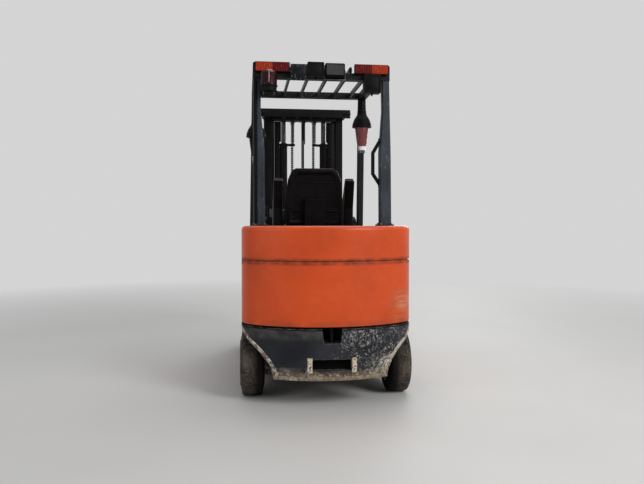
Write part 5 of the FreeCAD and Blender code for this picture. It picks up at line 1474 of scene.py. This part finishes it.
@dataclass
class Lamps:
    """Signal lamps along the rear header, the beacon, the work lamp and the two bell lamps."""

    rear_y: float = 496.0
    lens_z: tuple = (2082.0, 2139.0)
    red_x: tuple = (218.0, 325.0)
    amber_x: tuple = (327.0, 436.0)
    beacon: tuple = (-354.0, 464.0, 1980.0)
    work: tuple = (15.0, 146.0, 2052.0, 2138.0)
    joint_box: tuple = (-210.0, -107.0, 2040.0, 2126.0)
    bell_x: float = 422.0
    bell_tops: tuple = ((1, 1864.0), (-1, 1774.0))

    def build(self) -> None:
        """Dress the lamps and add their bezels, flutes, fins and fixings."""
        dress(PLASTIC, "lamp_housings")
        dress(RED, "lenses_red")
        dress(AMBER, "lenses_amber")
        dress(CLEAR, "lenses_clear")
        self.bezels()
        self.flutes()
        self.beacon_cage()
        self.work_lamp()
        self.bells()

    def frame_of(self, shape: Shape, x: tuple, z: tuple, y: float, width: float, proud: float) -> None:
        """Add a rectangular rim that looks to the rear.

        Args:
            shape: takes the rim.
            x: its outer X planes.
            z: its outer Z planes.
            y: plane that it stands on.
            width: width of the rim.
            proud: how far it stands out.
        """
        shape.box((x[0], x[1]), (y - proud, y), (z[1] - width, z[1]), 1)
        shape.box((x[0], x[1]), (y - proud, y), (z[0], z[0] + width), 1)
        shape.box((x[0], x[0] + width), (y - proud, y), (z[0], z[1]), 1)
        shape.box((x[1] - width, x[1]), (y - proud, y), (z[0], z[1]), 1)

    def bezels(self) -> None:
        """Black rims round the corner lamps, with their screws."""
        shape = Shape(PLASTIC, STEEL)
        for x in (self.red_x, self.amber_x):
            self.frame_of(shape, (x[0] - 3, x[1] + 3), (self.lens_z[0] - 3, self.lens_z[1] + 3), self.rear_y + 8, 4, 6)
        shape.box((self.red_x[0] - 4, self.amber_x[1] + 4), (self.rear_y + 14, self.rear_y + 17),
                  (self.lens_z[0] - 6, self.lens_z[1] + 5), 1)
        shape.coat = 1
        for x in (self.red_x[0] + 7, self.amber_x[1] - 7):
            shape.lathe([(0, 0), (0, 4), (2, 3.5), (2.5, 2), (2.5, 0)],
                        (x, self.rear_y + 2, sum(self.lens_z) / 2), -Y, 12)
        shape.mirror()
        shape.place("lamp_bezels", Body.CHASSIS)

    def flutes(self) -> None:
        """Fine upright ribs moulded on the faces of the corner lenses."""
        for finish, x, name in ((RED, self.red_x, "red"), (AMBER, self.amber_x, "amber")):
            shape = Shape(finish)
            count = 6
            step = (x[1] - x[0] - 14) / count
            for k in range(count + 1):
                mid = x[0] + 7 + k * step
                section = [(-2.6, 0), (-1.4, 1.5), (0, 2.0), (1.4, 1.5), (2.6, 0)]
                shape.sweep([(mid, self.rear_y, self.lens_z[0] + 6), (mid, self.rear_y, self.lens_z[1] - 6)],
                            section, -Y)
            shape.mirror()
            shape.place(f"lens_ribs_{name}", Body.CHASSIS, 60)

    def beacon_cage(self) -> None:
        """Fluted beacon dome with a painted highlight strip, its base ring, and the bolts of its bracket."""
        x, y, z = self.beacon
        glass = Shape(MAROON, BEACON_GLINT)
        rows = [(0, 55), (4, 55.5), (8, 53.5), (76, 50.2), (84, 47), (92, 38), (98, 24), (101, 10), (101.5, 0)]

        def flute(row: int, step: int) -> float:
            """Height of a flute on the dome's side."""
            return 1.3 if 1 < row < 5 and step % 4 < 2 else 0.0

        glass.lathe(rows, (x, y, z), Z, 96, flute)
        # painted highlight: an upright pale rose strip on the dome's rear face stands in for its glint
        glass.coat = 1
        glass.box((x - 4, x + 4), (y - 56, y - 46), (z + 9, z + 82), 2)
        glass.place("beacon_dome", Body.CHASSIS, 50)
        base = Shape(PLASTIC, STEEL)
        base.lathe([(0, 52), (0, 56), (3, 58), (9, 58), (12, 56), (12, 52)], (x, y, z - 10), Z, 48)
        base.lathe([(0, 0), (0, 54.5), (3, 54.5), (3, 0)], (x, y, z - 40), Z, 48)
        base.coat = 1
        for dx in (-34, 34):
            for dy in (-26, 26):
                base.bolt((x + dx, y + dy, z - 48), -Z, 10, 5)
        base.place("beacon_base", Body.CHASSIS)

    def work_lamp(self) -> None:
        """Cooling fins, glass rim and stirrup of the work lamp, and ribs on the two boxes beside it."""
        shape = Shape(PLASTIC, STEEL)
        x0, x1, z0, z1 = self.work
        self.frame_of(shape, (x0 + 4, x1 - 4), (z0 + 4, z1 - 4), 478.0, 5, 13)
        for k in range(9):
            x = x0 + 12 + k * (x1 - x0 - 24) / 8
            shape.box((x - 1.5, x + 1.5), (484, 520), (z1 - 1, z1 + 5), 0.6)
        shape.coat = 1
        for side in (x0 - 5, x1 + 2):
            shape.box((side, side + 3), (494, 514), (z0 - 16, z0 + 50), 1)
        shape.box((x0 - 5, x1 + 5), (494, 514), (z0 - 18, z0 - 15), 1)
        shape.lathe([(-74, 0), (-74, 7), (74, 7), (74, 0)], ((x0 + x1) / 2, 504, z0 + 36), X, 12)
        shape.coat = 0
        # lid seams and a cable gland on each closed box
        for bx0, bx1, bz0, bz1 in ((-102, 8, 2048, 2142), (272, 386, 1950, 2072)):
            self.frame_of(shape, (bx0 + 8, bx1 - 8), (bz0 + 8, bz1 - 8), 470.5, 3, 3)
            shape.box((bx0 + 18, bx1 - 18), (468, 471), (bz0 + 18, bz1 - 18), 1)
            shape.lathe([(0, 9), (5, 9), (6, 7), (14, 6), (16, 4), (16, 0)], ((bx0 + bx1) / 2, 500, bz0 + 1), -Z, 16)
        shape.place("lamp_fittings", Body.CHASSIS)
        self.junction()

    def junction(self) -> None:
        """Steel junction box bolted on the header beside the relay box, with its lid and cable glands."""
        # painted shade: the box takes the darkened copy of the guard's paint
        shape = Shape(GUARD_SHADED, STEEL)
        x0, x1, z0, z1 = self.joint_box
        shape.box((x0, x1), (486, 525), (z0, z1), 4)
        shape.box((x0 - 2, x1 + 2), (480, 486.5), (z0 - 2, z1 + 2), 2)
        shape.box((x0 + 12, x1 - 12), (478.6, 481), (z0 + 12, z1 - 12), 1)
        for x in (x0 + 24, (x0 + x1) / 2, x1 - 24):
            shape.lathe([(0, 8), (5, 8), (6, 6), (14, 5), (15, 3), (15, 0)], (x, 506, z0 + 1), -Z, 12)
        shape.coat = 1
        for x in (x0 + 6, x1 - 6):
            for z in (z0 + 6, z1 - 6):
                shape.lathe([(0, 0), (0, 4), (2, 3.5), (2.5, 2), (2.5, 0)], (x, 480.2, z), -Y, 12)
        shape.place("junction_box", Body.CHASSIS)

    def bells(self) -> None:
        """Rolled rim, ribs and tip of each bell lamp, and the bolts of its arm."""
        rims, glass, tips = Shape(PLASTIC, STEEL), Shape(DUSTY, PLASTIC), Shape(OPAL)
        for side, z in self.bell_tops:
            t = (z - 548.0) / (2087.0 - 548.0)
            y = 1662.0 + (1428.0 - 1662.0) * t - 82.0
            x = side * self.bell_x
            rims.lathe([(-3, 60), (-4, 72), (-2, 77), (3, 78), (8, 76.5), (12, 75), (12, 60)], (x, y, z), Z, 56)
            rims.lathe([(0, 34), (0, 37), (6, 37), (6, 34)], (x, y, z + 120), Z, 32)
            rims.coat = 1
            for dz in (150, 176):
                rims.bolt((x + side * 17, y + 52, z + dz), X * side, 10, 5)
            rims.coat = 0

            def rib(row: int, step: int) -> float:
                """Height of a rib on the cone's side."""
                return 1.0 if 0 < row < 5 and step % 6 < 3 else 0.0

            glass.coat = 0 if side > 0 else 1
            glass.lathe([(0.5, 54), (-4, 54.8), (-40, 49.8), (-100, 42.2), (-142, 36.4), (-150, 35.6), (-150, 0)],
                        (x, y, z), Z, 72, rib)
            tips.lathe([(0, 28), (-34, 28.4), (-46, 25), (-54, 17), (-58, 0)], (x, y, z - 150), Z, 40)
        rims.place("bell_rims", Body.CHASSIS)
        glass.place("bell_lenses", Body.CHASSIS, 60)
        tips.place("bell_tips", Body.CHASSIS, 60)


@dataclass
class DriverPlace:
    """Floor, dashboard, steering wheel, levers and pedals."""

    hub: tuple = (0.0, 1530.0, 1285.0)
    tilt: float = 25.0
    ring_r: float = 168.0
    ring_up: float = 34.0
    grip_r: float = 13.0
    levers: tuple = (190.0, 245.0, 300.0)

    def build(self) -> None:
        """Dress the driver's place and model what hands and feet touch."""
        dress(DARK, "floor_plate")
        dress(MAT, "floor_mat")
        dress(ORANGE, "cowl")
        dress(PLASTIC, "dashboard", "steering_column", "driver_controls")
        self.steering_wheel()
        self.mat_ribs()
        self.controls()
        self.boot()

    def steering_wheel(self) -> None:
        """Steering wheel with a finger-notched rim, three spokes, horn button and spinner knob."""
        turn = Matrix.Rotation(math.radians(self.tilt), 3, "X")
        move = Vector(self.hub)
        shape = Shape(PLASTIC, STEEL)
        sides, steps = 14, 108
        points = []
        for k in range(steps):
            a = 2 * math.pi * k / steps
            under = 1.4 * (1 + math.cos(36 * a)) / 2
            for j in range(sides):
                b = 2 * math.pi * j / sides
                r = self.grip_r - 0.2 - (under if math.sin(b) < 0.1 else 0.0)
                points.append(Vector(((self.ring_r + r * math.cos(b)) * math.cos(a),
                                      (self.ring_r + r * math.cos(b)) * math.sin(a), self.ring_up + r * math.sin(b))))
        faces = [[k * sides + j, ((k + 1) % steps) * sides + j, ((k + 1) % steps) * sides + (j + 1) % sides,
                  k * sides + (j + 1) % sides] for k in range(steps) for j in range(sides)]
        shape.take([turn @ p + move for p in points], faces)
        for k in range(3):
            a = math.radians(90 + 120 * k)
            out, across = Vector((math.cos(a), math.sin(a), 0)), Vector((-math.sin(a), math.cos(a), 0))
            path = [out * 26 + Z * 14, out * 60 + Z * 16, out * 110 + Z * 24, out * 150 + Z * 33, out * 160 + Z * 34]
            width = (15, 12, 10, 9, 9)
            rows = []
            for p, w in zip(path, width):
                rows += [p + across * w + Z * 3, p + across * (w - 3) + Z * 5, p - across * (w - 3) + Z * 5,
                         p - across * w + Z * 3, p - across * w - Z * 4, p + across * w - Z * 4]
            quads = [[i * 6 + j, i * 6 + (j + 1) % 6, (i + 1) * 6 + (j + 1) % 6, (i + 1) * 6 + j]
                     for i in range(4) for j in range(6)]
            shape.take([turn @ p + move for p in rows], quads + [[0, 1, 2, 3, 4, 5], [29, 28, 27, 26, 25, 24]])
        up = turn @ Z
        shape.lathe([(0, 12), (0, 34), (3, 36), (20, 36), (24, 33), (26, 29), (26, 24), (23, 24), (23, 22),
                     (28, 20), (30, 12), (30.5, 0)], move, up, 48)
        knob = turn @ Vector((-118.8, 118.8, 46)) + move
        shape.lathe([(0, 0), (0, 16), (6, 17), (18, 21), (26, 22), (32, 19), (34, 12), (34.5, 0)], knob, up, 32)
        shape.coat = 1
        shape.lathe([(-3, 0), (-3, 9), (1, 9), (1, 0)], knob, up, 20)
        wheel = shape.place("steering_wheel_rim", Body.STEERING_WHEEL, 45)
        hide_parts("steering_wheel")

    def mat_ribs(self) -> None:
        """Ribs of the floor mat, 20 mm apart."""
        shape = Shape(MAT)
        low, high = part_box("floor_mat")
        x0, x1 = low.x / MM, high.x / MM
        y0, y1 = (low.y + HALF_LENGTH) / MM, (high.y + HALF_LENGTH) / MM
        z = high.z / MM
        count = int((x1 - x0 - 60) // 20)
        for k in range(count + 1):
            x = x0 + 30 + 20 * k
            shape.sweep([(x, y0 + 14, z - 0.5), (x, y1 - 14, z - 0.5)], [(-5, 0), (-3, 3), (3, 3), (5, 0)])
        shape.place("mat_ribs", Body.CHASSIS)

    def controls(self) -> None:
        """Lever knobs and boots, the display's glass and buttons, and ribbed pedal pads."""
        shape = Shape(PLASTIC, STEEL, MAT, CLEAR)
        lean = Vector((0, -0.25, 1)).normalized()
        for x in self.levers:
            foot = Vector((x, 1584, 1100))
            for k in range(4):
                r = 27 - 3.4 * k
                shape.lathe([(0, r - 3), (2, r), (4, r), (6, r - 3)], foot + lean * (12 + 9 * k), lean, 28)
            shape.lathe([(-22, 0), (-22, 9), (-17, 14), (-8, 19.3), (4, 19.6), (13, 15), (18, 8), (19.8, 0)],
                        foot + lean * 128, lean, 32)
        # the display faces the driver
        shape.box((-322, -178), (1546.5, 1551), (1104, 1220), 2)
        shape.coat = 3
        shape.box((-312, -188), (1544.5, 1547), (1140, 1212), 1)
        shape.coat = 0
        for k in range(5):
            x = -300 + 25 * k
            shape.box((x - 8, x + 8), (1543.5, 1547), (1112, 1126), 1.5)
        shape.coat = 1
        shape.lathe([(0, 0), (0, 10), (4, 9), (4, 4), (7, 4), (7, 0)], (130, 1566, 1092), Vector((0, -0.9, 0.43)), 24)
        shape.coat = 2
        turn = Matrix.Rotation(math.radians(-35), 3, "X")
        for x0, x1 in ((30, 130), (170, 240)):
            for k in range(8):
                z = 10 + 14 * k
                corner = turn @ Vector((0, -3, z)) + Vector((0, 1500, 590))
                shape.box((x0 + 6, x1 - 6), (corner.y - 2, corner.y + 3), (corner.z - 3, corner.z + 3), 1.2, turn)
        shape.place("control_trim", Body.CHASSIS)

    def boot(self) -> None:
        """Bellows round the steering column, and the stalk beside it."""
        shape = Shape(PLASTIC)
        tilt = math.radians(self.tilt)
        axis = Vector((0, -math.sin(tilt), math.cos(tilt)))
        top = Vector(self.hub)
        rows = []
        for k in range(7):
            r = 62 - 4.4 * k
            rows += [(16 * k, r - 3), (16 * k + 5, r + 3.5), (16 * k + 9, r + 3.5), (16 * k + 13, r - 3)]
        shape.lathe(rows, top - axis * 214, axis, 48)
        shape.lathe([(0, 32), (0, 35), (14, 35), (14, 32)], top - axis * 58, axis, 40)
        start = top - axis * 52
        shape.tube([start - X * 30, start - X * 80 - Y * 4, start - X * 128 - Y * 14], 4.5, 10)
        shape.lathe([(0, 0), (0, 7), (4, 9), (26, 8), (30, 5), (30, 0)], start - X * 122 - Y * 13, -X, 20)
        shape.place("column_boot", Body.CHASSIS)


@dataclass
class Mast:
    """Two-stage mast: rails, leaf chains over their sheaves, hoses, pipes, cylinder heads and bolts."""

    sheave: tuple = (95.0, 1944.0, 2008.0)
    pitch: float = 19.05
    plate_h: float = 14.0
    chain_r: float = 52.3
    rear_low_z: float = 1789.0
    front_low_z: float = 498.0
    plates: tuple = (-11.0, -6.5, -2.0, 2.5, 7.0)

    def build(self) -> None:
        """Dress the mast and add its running gear."""
        dress(MAST, "mast_outer", "mast_inner", "lift_barrels", "tilt_barrels")
        dress(CHROME, "lift_rods", "tilt_rods", "steer_rod")
        dress(STEEL, "outer_rollers", "inner_rollers")
        dress(HOSE, "mast_hoses")
        self.chains()
        self.hose_ends()
        self.pipes()
        self.risers()
        self.cylinder_heads()
        self.bolts()

    def chain_point(self, run: float) -> tuple:
        """Place and direction at a length along one chain.

        Args:
            run: millimetres from the rear anchor.

        Returns:
            (y, z, angle of the chain's direction in the YZ plane).
        """
        _, y0, z0 = self.sheave
        rise = z0 - self.rear_low_z
        arc = math.pi * self.chain_r
        if run < rise:
            return y0 - self.chain_r, self.rear_low_z + run, math.pi / 2
        if run < rise + arc:
            a = (run - rise) / self.chain_r
            return y0 - self.chain_r * math.cos(a), z0 + self.chain_r * math.sin(a), math.pi / 2 - a
        return y0 + self.chain_r, z0 - (run - rise - arc), -math.pi / 2

    def chains(self) -> None:
        """Two leaf chains, link by link, with an anchor bolt at their front ends."""
        shape = Shape(CHAIN, STEEL)
        _, _, z0 = self.sheave
        length = (z0 - self.rear_low_z) + math.pi * self.chain_r + (z0 - self.front_low_z)
        count = int(length // self.pitch)
        x0 = self.sheave[0]
        h = self.plate_h / 2
        outline = []
        for end, start in ((1, -60), (-1, 120)):
            outline += [(end * self.pitch / 2 + (h - 0.4) * math.cos(math.radians(start + 40 * k)),
                         (h - 0.4) * math.sin(math.radians(start + 40 * k))) for k in range(4)]
        for i in range(count):
            y, z, a = self.chain_point((i + 0.5) * self.pitch)
            along, over = Vector((0, math.cos(a), math.sin(a))), Vector((0, -math.sin(a), math.cos(a)))
            offsets = self.plates if i % 2 else [p + 2.2 for p in self.plates[:-1]]
            for px in offsets:
                ring = [Vector((x0 + px, y, z)) + along * u + over * v for u, v in outline]
                n = len(ring)
                faces = [[k, (k + 1) % n, n + (k + 1) % n, n + k] for k in range(n)]
                shape.take(ring + [p + X * 2.0 for p in ring], faces + [list(range(n))[::-1], list(range(n, 2 * n))])
        for i in range(count + 1):
            y, z, _ = self.chain_point(i * self.pitch)
            shape.lathe([(-11.9, 0), (-11.9, 3.4), (11.9, 3.4), (11.9, 0)], (x0, y, z), X, 8)
        y = self.sheave[1] + self.chain_r
        shape.coat = 1
        shape.box((x0 - 10, x0 + 10), (y - 7, y + 7), (self.front_low_z - 8, self.front_low_z + 26), 3)
        shape.lathe([(-62, 0), (-62, 7.5), (-8, 7.5), (-8, 0)], (x0, y, self.front_low_z), Z, 16)
        for low in (-60, -44):
            shape.lathe([(low, 0), (low, 13.5), (low + 12, 13.5), (low + 12, 0)], (x0, y, self.front_low_z), Z, 6)
        shape.mirror()
        chains = shape.place("leaf_chains", Body.MAST_INNER, 35)
        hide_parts("lift_chains")

    def hose_ends(self) -> None:
        """Crimped ends of the two mast hoses and a clamp on each run."""
        shape = Shape(STEEL, PLASTIC)
        r = 45.0 + 0.3 + 6.0
        for x in (-6.3, 6.3):
            for y, z, axis in ((1944.0 - r, 1789.0, Z), (1944.0 + r, 498.0, Z)):
                shape.lathe([(-4, 0), (-4, 5), (0, 6.3), (1, 7.2), (26, 7.2), (28, 6.4), (28, 5)], (x, y, z), axis, 18)
        shape.coat = 1
        for y, z in ((1944.0 + r, 900.0), (1944.0 + r, 1500.0)):
            shape.box((-16, 16), (y - 9, y + 9), (z - 7, z + 7), 3)
        shape.place("hose_ends", Body.MAST_INNER)

    def pipes(self) -> None:
        """Steel pipes that feed the lift cylinders from the middle of the foot, with their union nuts."""
        shape = Shape(STEEL, MAST)
        y, z = 1878.0, 206.0
        path = [(20, y, 196), (40, y, z), (95, y, z), (128, y + 6, z), (143, y + 20, z), (146, y + 32, z)]
        shape.tube(path, 6, 12)
        shape.lathe([(0, 0), (0, 11), (16, 11), (16, 0)], (26, y, 198), X, 6)
        shape.lathe([(-4, 0), (-4, 10), (10, 10), (10, 0)], (143, y + 22, z), Vector((0.1, 1, 0)), 6)
        shape.mirror()
        shape.coat = 1
        shape.box((-28, 28), (y - 14, y + 20), (176, 214), 3)
        shape.place("lift_pipes", Body.MAST_OUTER)

    def risers(self) -> None:
        """Moulded hose cover between each lift cylinder and its rail, with the oil tube behind it and its straps."""
        shape = Shape(PLASTIC, MAST)
        y, low, high = 1906.0, 186.0, 1980.0
        x0, x1, wall = 209.6, 255.4, 5.0
        shape.box((x0, x1), (y, y + wall), (low, high), 1.5)
        shape.box((x0, x0 + wall), (y + 1, y + 34), (low, 1764), 1.5)
        shape.box((x0, x0 + wall), (y + 1, y + 24), (1762, high), 1.5)
        shape.box((x1 - wall, x1), (y + 1, y + 28), (low, high), 1.5)
        # a lip reaches in behind the cylinder
        shape.box((203.8, x0 + wall), (y + 30, y + 34), (low, 1764), 1.5)
        # the cover widens over the cylinder's head, up to the rod
        shape.box((197.5, x0 + wall), (y, y + wall), (1806, high), 1.5)
        shape.coat = 1
        shape.tube([(232, y + 15, low), (232, y + 15, high - 6)], 8, 12, up=Y)
        for z in (300, 640, 980, 1320, 1660, 1900):
            shape.box((x0 + 3, x1 - 3), (y - 2, y + 1), (z, z + 30), 1)
            shape.bolt((232.5, y - 2, z + 15), -Y, 10, 5)
        shape.mirror()
        shape.place("hose_covers", Body.MAST_OUTER)

    def cylinder_heads(self) -> None:
        """Screwed gland rings on the lift and tilt cylinders, with wiper lips."""
        shape = Shape(MAST, PLASTIC)
        shape.lathe([(0, 33), (0, 36), (2, 37), (16, 37), (18, 35), (18, 33)], (175, 1920, 1768), Z, 36,
                    lambda row, step: -1.2 if 0 < row < 4 and step % 6 == 0 else 0.0)
        shape.coat = 1
        shape.lathe([(0, 20.4), (0, 29), (3, 29), (7, 22), (8, 20.4)], (175, 1920, 1791), Z, 36)
        shape.mirror()
        shape.place("lift_glands", Body.MAST_OUTER)
        rear, front = Vector((318, 1420, 440)), Vector((318, 1866, 580))
        d = (front - rear).normalized()
        tilt = Shape(STEEL, PLASTIC, HOSE)
        tilt.lathe([(0, 30), (0, 33), (2, 34), (22, 34), (24, 32), (24, 30)], rear + d * 308, d, 36,
                   lambda row, step: -1.2 if 0 < row < 4 and step % 6 == 0 else 0.0)
        for at in (52, 300):
            seat = rear + d * at + Z * 26
            tilt.lathe([(0, 0), (0, 10), (14, 10), (14, 6), (22, 6), (22, 0)], seat, Z, 6)
        tilt.coat = 1
        tilt.lathe([(0, 16.4), (0, 25), (3, 25), (7, 19), (8, 16.4)], rear + d * 333, d, 36)
        tilt.mirror()
        tilt.place("tilt_glands", Body.TILT_BARRELS)

    def bolts(self) -> None:
        """Bolts on the mast ties, caps on the roller pins and grease nipples at the pivots."""
        outer = Shape(MAST)
        for z in (1198, 1232):
            for x in (352, 330):
                outer.bolt((x, 1839, z), -Y, 17, 9)
        for x in (395, 372, 350):
            outer.bolt((x, 1839, 2048), -Y, 17, 9)
        outer.lathe([(0, 0), (0, 12), (3, 12), (4, 10), (4, 0)], (345, 1982, 2013), X, 24)
        outer.lathe([(0, 0), (0, 4), (5, 4), (6, 2.5), (9, 3), (10, 0)], (318, 1878, 190), Z, 10)
        outer.mirror()
        outer.place("mast_bolts", Body.MAST_OUTER)
        inner = Shape(STEEL)
        for x in (238, 265):
            inner.bolt((x, 1865, 434), -Y, 15, 8)
        for x in (175, 60):
            inner.bolt((x, 1865, 2018), -Y, 15, 8)
        inner.mirror()
        inner.place("inner_mast_bolts", Body.MAST_INNER)


@dataclass
class Carriage:
    """Fork carriage with its rollers, forks, latches and load backrest."""

    fork_x: float = 240.0
    top_z: float = 491.0
    front_y: float = 2170.0

    def build(self) -> None:
        """Dress the carriage and add latches, bolts and end stops."""
        dress(MAST, "carriage", "load_backrest")
        dress(STEEL, "carriage_rollers")
        dress(FORK, "forks")
        self.latches()
        self.bolts()

    def latches(self) -> None:
        """Spring latch on top of each fork."""
        shape = Shape(STEEL, MAST)
        z = self.top_z + 20
        y = self.front_y + 12
        shape.coat = 1
        shape.box((self.fork_x - 22, self.fork_x + 22), (y - 12, y + 12), (z, z + 16), 3)
        shape.coat = 0
        shape.lathe([(0, 0), (0, 8), (26, 8), (28, 6), (28, 0)], (self.fork_x, y, z), Z, 20)
        shape.tube([(self.fork_x, y, z + 24), (self.fork_x + 26, y, z + 24), (self.fork_x + 34, y, z + 18)], 4, 10)
        shape.mirror()
        shape.place("fork_latches", Body.CARRIAGE)

    def bolts(self) -> None:
        """Bolts of the backrest and the end stops of the carriage bars."""
        shape = Shape(STEEL, MAST)
        for x in (392, 436):
            for z in (430, 462):
                shape.bolt((x, 2115.8, z), -Y, 19, 9)
        shape.coat = 1
        for z0, z1 in ((86, 166), (408, 489)):
            shape.box((446, 459), (self.front_y - 1, self.front_y + 9), (z0, z1), 2)
        shape.mirror()
        shape.place("carriage_bolts", Body.CARRIAGE)


@dataclass
class Bodywork:
    """Frame, side panels, hood, battery, fenders and axles."""

    step_z: float = 330.0
    bay: tuple = (700.4, 1360.0)
    battery_top: float = 830.0

    def build(self) -> None:
        """Dress the bodywork and add steps, hinges, latches and cells."""
        dress(DARK, "frame", "fenders", "steer_axle", "drive_axle", "knuckle_left", "knuckle_right")
        dress(ORANGE, "side_panels", "hood")
        dress(BATTERY, "battery")
        self.steps()
        self.hinges()
        self.catches()
        self.cells()
        self.axle_details()

    def steps(self) -> None:
        """Raised bars of the tread plate in each step."""
        shape = Shape(STEEL)
        for row in range(5):
            for k in range(7):
                x = 310 + 30 * k + (15 if row % 2 else 0)
                y = 1408 + 18 * row
                turn = Matrix.Rotation(math.radians(45 if (row + k) % 2 else -45), 3, "Z")
                shape.box((x - 10, x + 10), (y - 2.5, y + 2.5), (self.step_z - 1, self.step_z + 2.4), 1.2, turn)
        shape.mirror()
        shape.place("step_treads", Body.CHASSIS)

    def hinges(self) -> None:
        """Fixed halves of the hood's hinges, on the counterweight."""
        shape = Shape(DARK, STEEL)
        for x in (242.0, 358.0):
            shape.lathe([(-16, 0), (-16, 6.8), (16, 6.8), (16, 0)], (x, 608, 950), X, 24)
            shape.box((x - 16, x + 16), (600.2, 604), (952, 990), 1)
            shape.coat = 1
            for z in (966, 982):
                shape.lathe([(0, 0), (0, 5), (2, 4.5), (3, 2), (3, 0)], (x, 604, z), Y, 14)
            shape.coat = 0
        shape.mirror()
        shape.place("hood_hinges", Body.CHASSIS)

    def catches(self) -> None:
        """Hood catch at the front, and pull plates in the side panels' hand recesses."""
        shape = Shape(PLASTIC, STEEL)
        shape.box((-46, 46), (1394, 1398.5), (905, 935), 2)
        shape.coat = 1
        shape.lathe([(0, 0), (0, 12), (3, 12), (4, 9), (4, 0)], (0, 1398, 920), Y, 24)
        shape.place("hood_catch", Body.HOOD)
        pulls = Shape(PLASTIC, STEEL)
        mid = (670.2 + 1390.2) / 2
        pulls.box((517.5, 520), (mid - 66, mid + 66), (760, 791), 1)
        pulls.tube([(519, mid - 48, 776), (526, mid - 44, 776), (526, mid + 44, 776), (519, mid + 48, 776)], 4, 10)
        pulls.coat = 1
        for y in (700, 1360):
            for z in (380, 820):
                pulls.lathe([(0, 0), (0, 9), (2, 8.5), (4, 5), (4, 0)], (530, y, z), X, 18)
        pulls.mirror()
        pulls.place("panel_pulls", Body.CHASSIS)

    def cells(self) -> None:
        """Tops of the battery's cells: lids, vent caps, bolted links and the main connector."""
        shape = Shape(PLASTIC, STEEL, AMBER)
        y0, y1 = self.bay
        nx, ny = 6, 4
        half = 440.0
        step_x, step_y = 2 * half / nx, (y1 - y0 - 20) / ny
        z = self.battery_top
        for i in range(nx):
            for j in range(ny):
                x, y = -half + step_x * (i + 0.5), y0 + 10 + step_y * (j + 0.5)
                shape.coat = 0
                shape.box((x - step_x / 2 + 3, x + step_x / 2 - 3), (y - step_y / 2 + 3, y + step_y / 2 - 3),
                          (z, z + 8), 2)
                shape.coat = 2
                shape.lathe([(7, 0), (7, 15), (14, 14), (18, 8), (18, 0)], (x, y, z), Z, 20)
                shape.coat = 1
                for dx in (-38, 38):
                    shape.lathe([(7, 0), (7, 9), (16, 9), (18, 6), (18, 0)], (x + dx, y + 30, z), Z, 6)
                if i < nx - 1:
                    shape.box((x + 30, x + step_x - 30), (y + 22, y + 38), (z + 10, z + 15), 1.5)
        shape.coat = 0
        shape.box((180, 300), (y1 - 64, y1 - 10), (z + 8, z + 52), 5)
        shape.place("battery_cells", Body.CHASSIS)

    def axle_details(self) -> None:
        """Gland nuts of the steering cylinder, king pin caps and the drive unit's bolts."""
        shape = Shape(STEEL, DARK)
        line = (295.0, 287.0)
        shape.lathe([(0, 14.5), (0, 31), (10, 31), (12, 28), (12, 14.5)], (120, *line), X, 32)
        for k in range(4):
            a = math.pi / 4 + math.pi / 2 * k
            shape.bolt((132, line[0] + 23 * math.cos(a), line[1] + 23 * math.sin(a)), X, 8, 4)
        for k in range(8):
            a = 2 * math.pi * k / 8
            shape.bolt((210, 1725 + 84 * math.cos(a), 273 + 84 * math.sin(a)), X, 13, 7)
        shape.mirror()
        shape.place("axle_fittings", Body.CHASSIS)
        for hand, side in (("left", -1), ("right", 1)):
            cap = Shape(STEEL)
            cap.lathe([(0, 0), (0, 17), (3, 16), (5, 9), (5, 0)], (side * 380, 395, 296), Z, 28)
            cap.lathe([(4, 3.5), (9, 3.5), (11, 2), (12, 2.6), (13, 0)], (side * 380, 395, 296), Z, 10)
            cap.place(f"king_pin_cap_{hand}", Body(f"knuckle_{hand}"))


def main() -> None:
    """Build the truck and its studio, piece by piece."""
    logging.basicConfig(level=logging.INFO, format="%(message)s")
    bpy.context.scene.view_settings.view_transform = "Standard"
    Studio().build()
    RearBody().build()
    Bodywork().build()
    DriverPlace().build()
    Seat().build()
    Guard().build()
    Lamps().build()
    Mast().build()
    Carriage().build()
    for side, hand in ((-1, "left"), (1, "right")):
        Wheel(f"rear_{hand}", side, Body(f"rear_wheel_{hand}"), 465, 395, 203, 152, 133.5, 38, 5, 81.8, 19).build()
        Wheel(f"front_{hand}", side, Body(f"front_wheel_{hand}"), 447, 1795, 267, 178, 190.5, 44, 8, 113.8, 24).build()


if __name__ == "__main__":
    main()
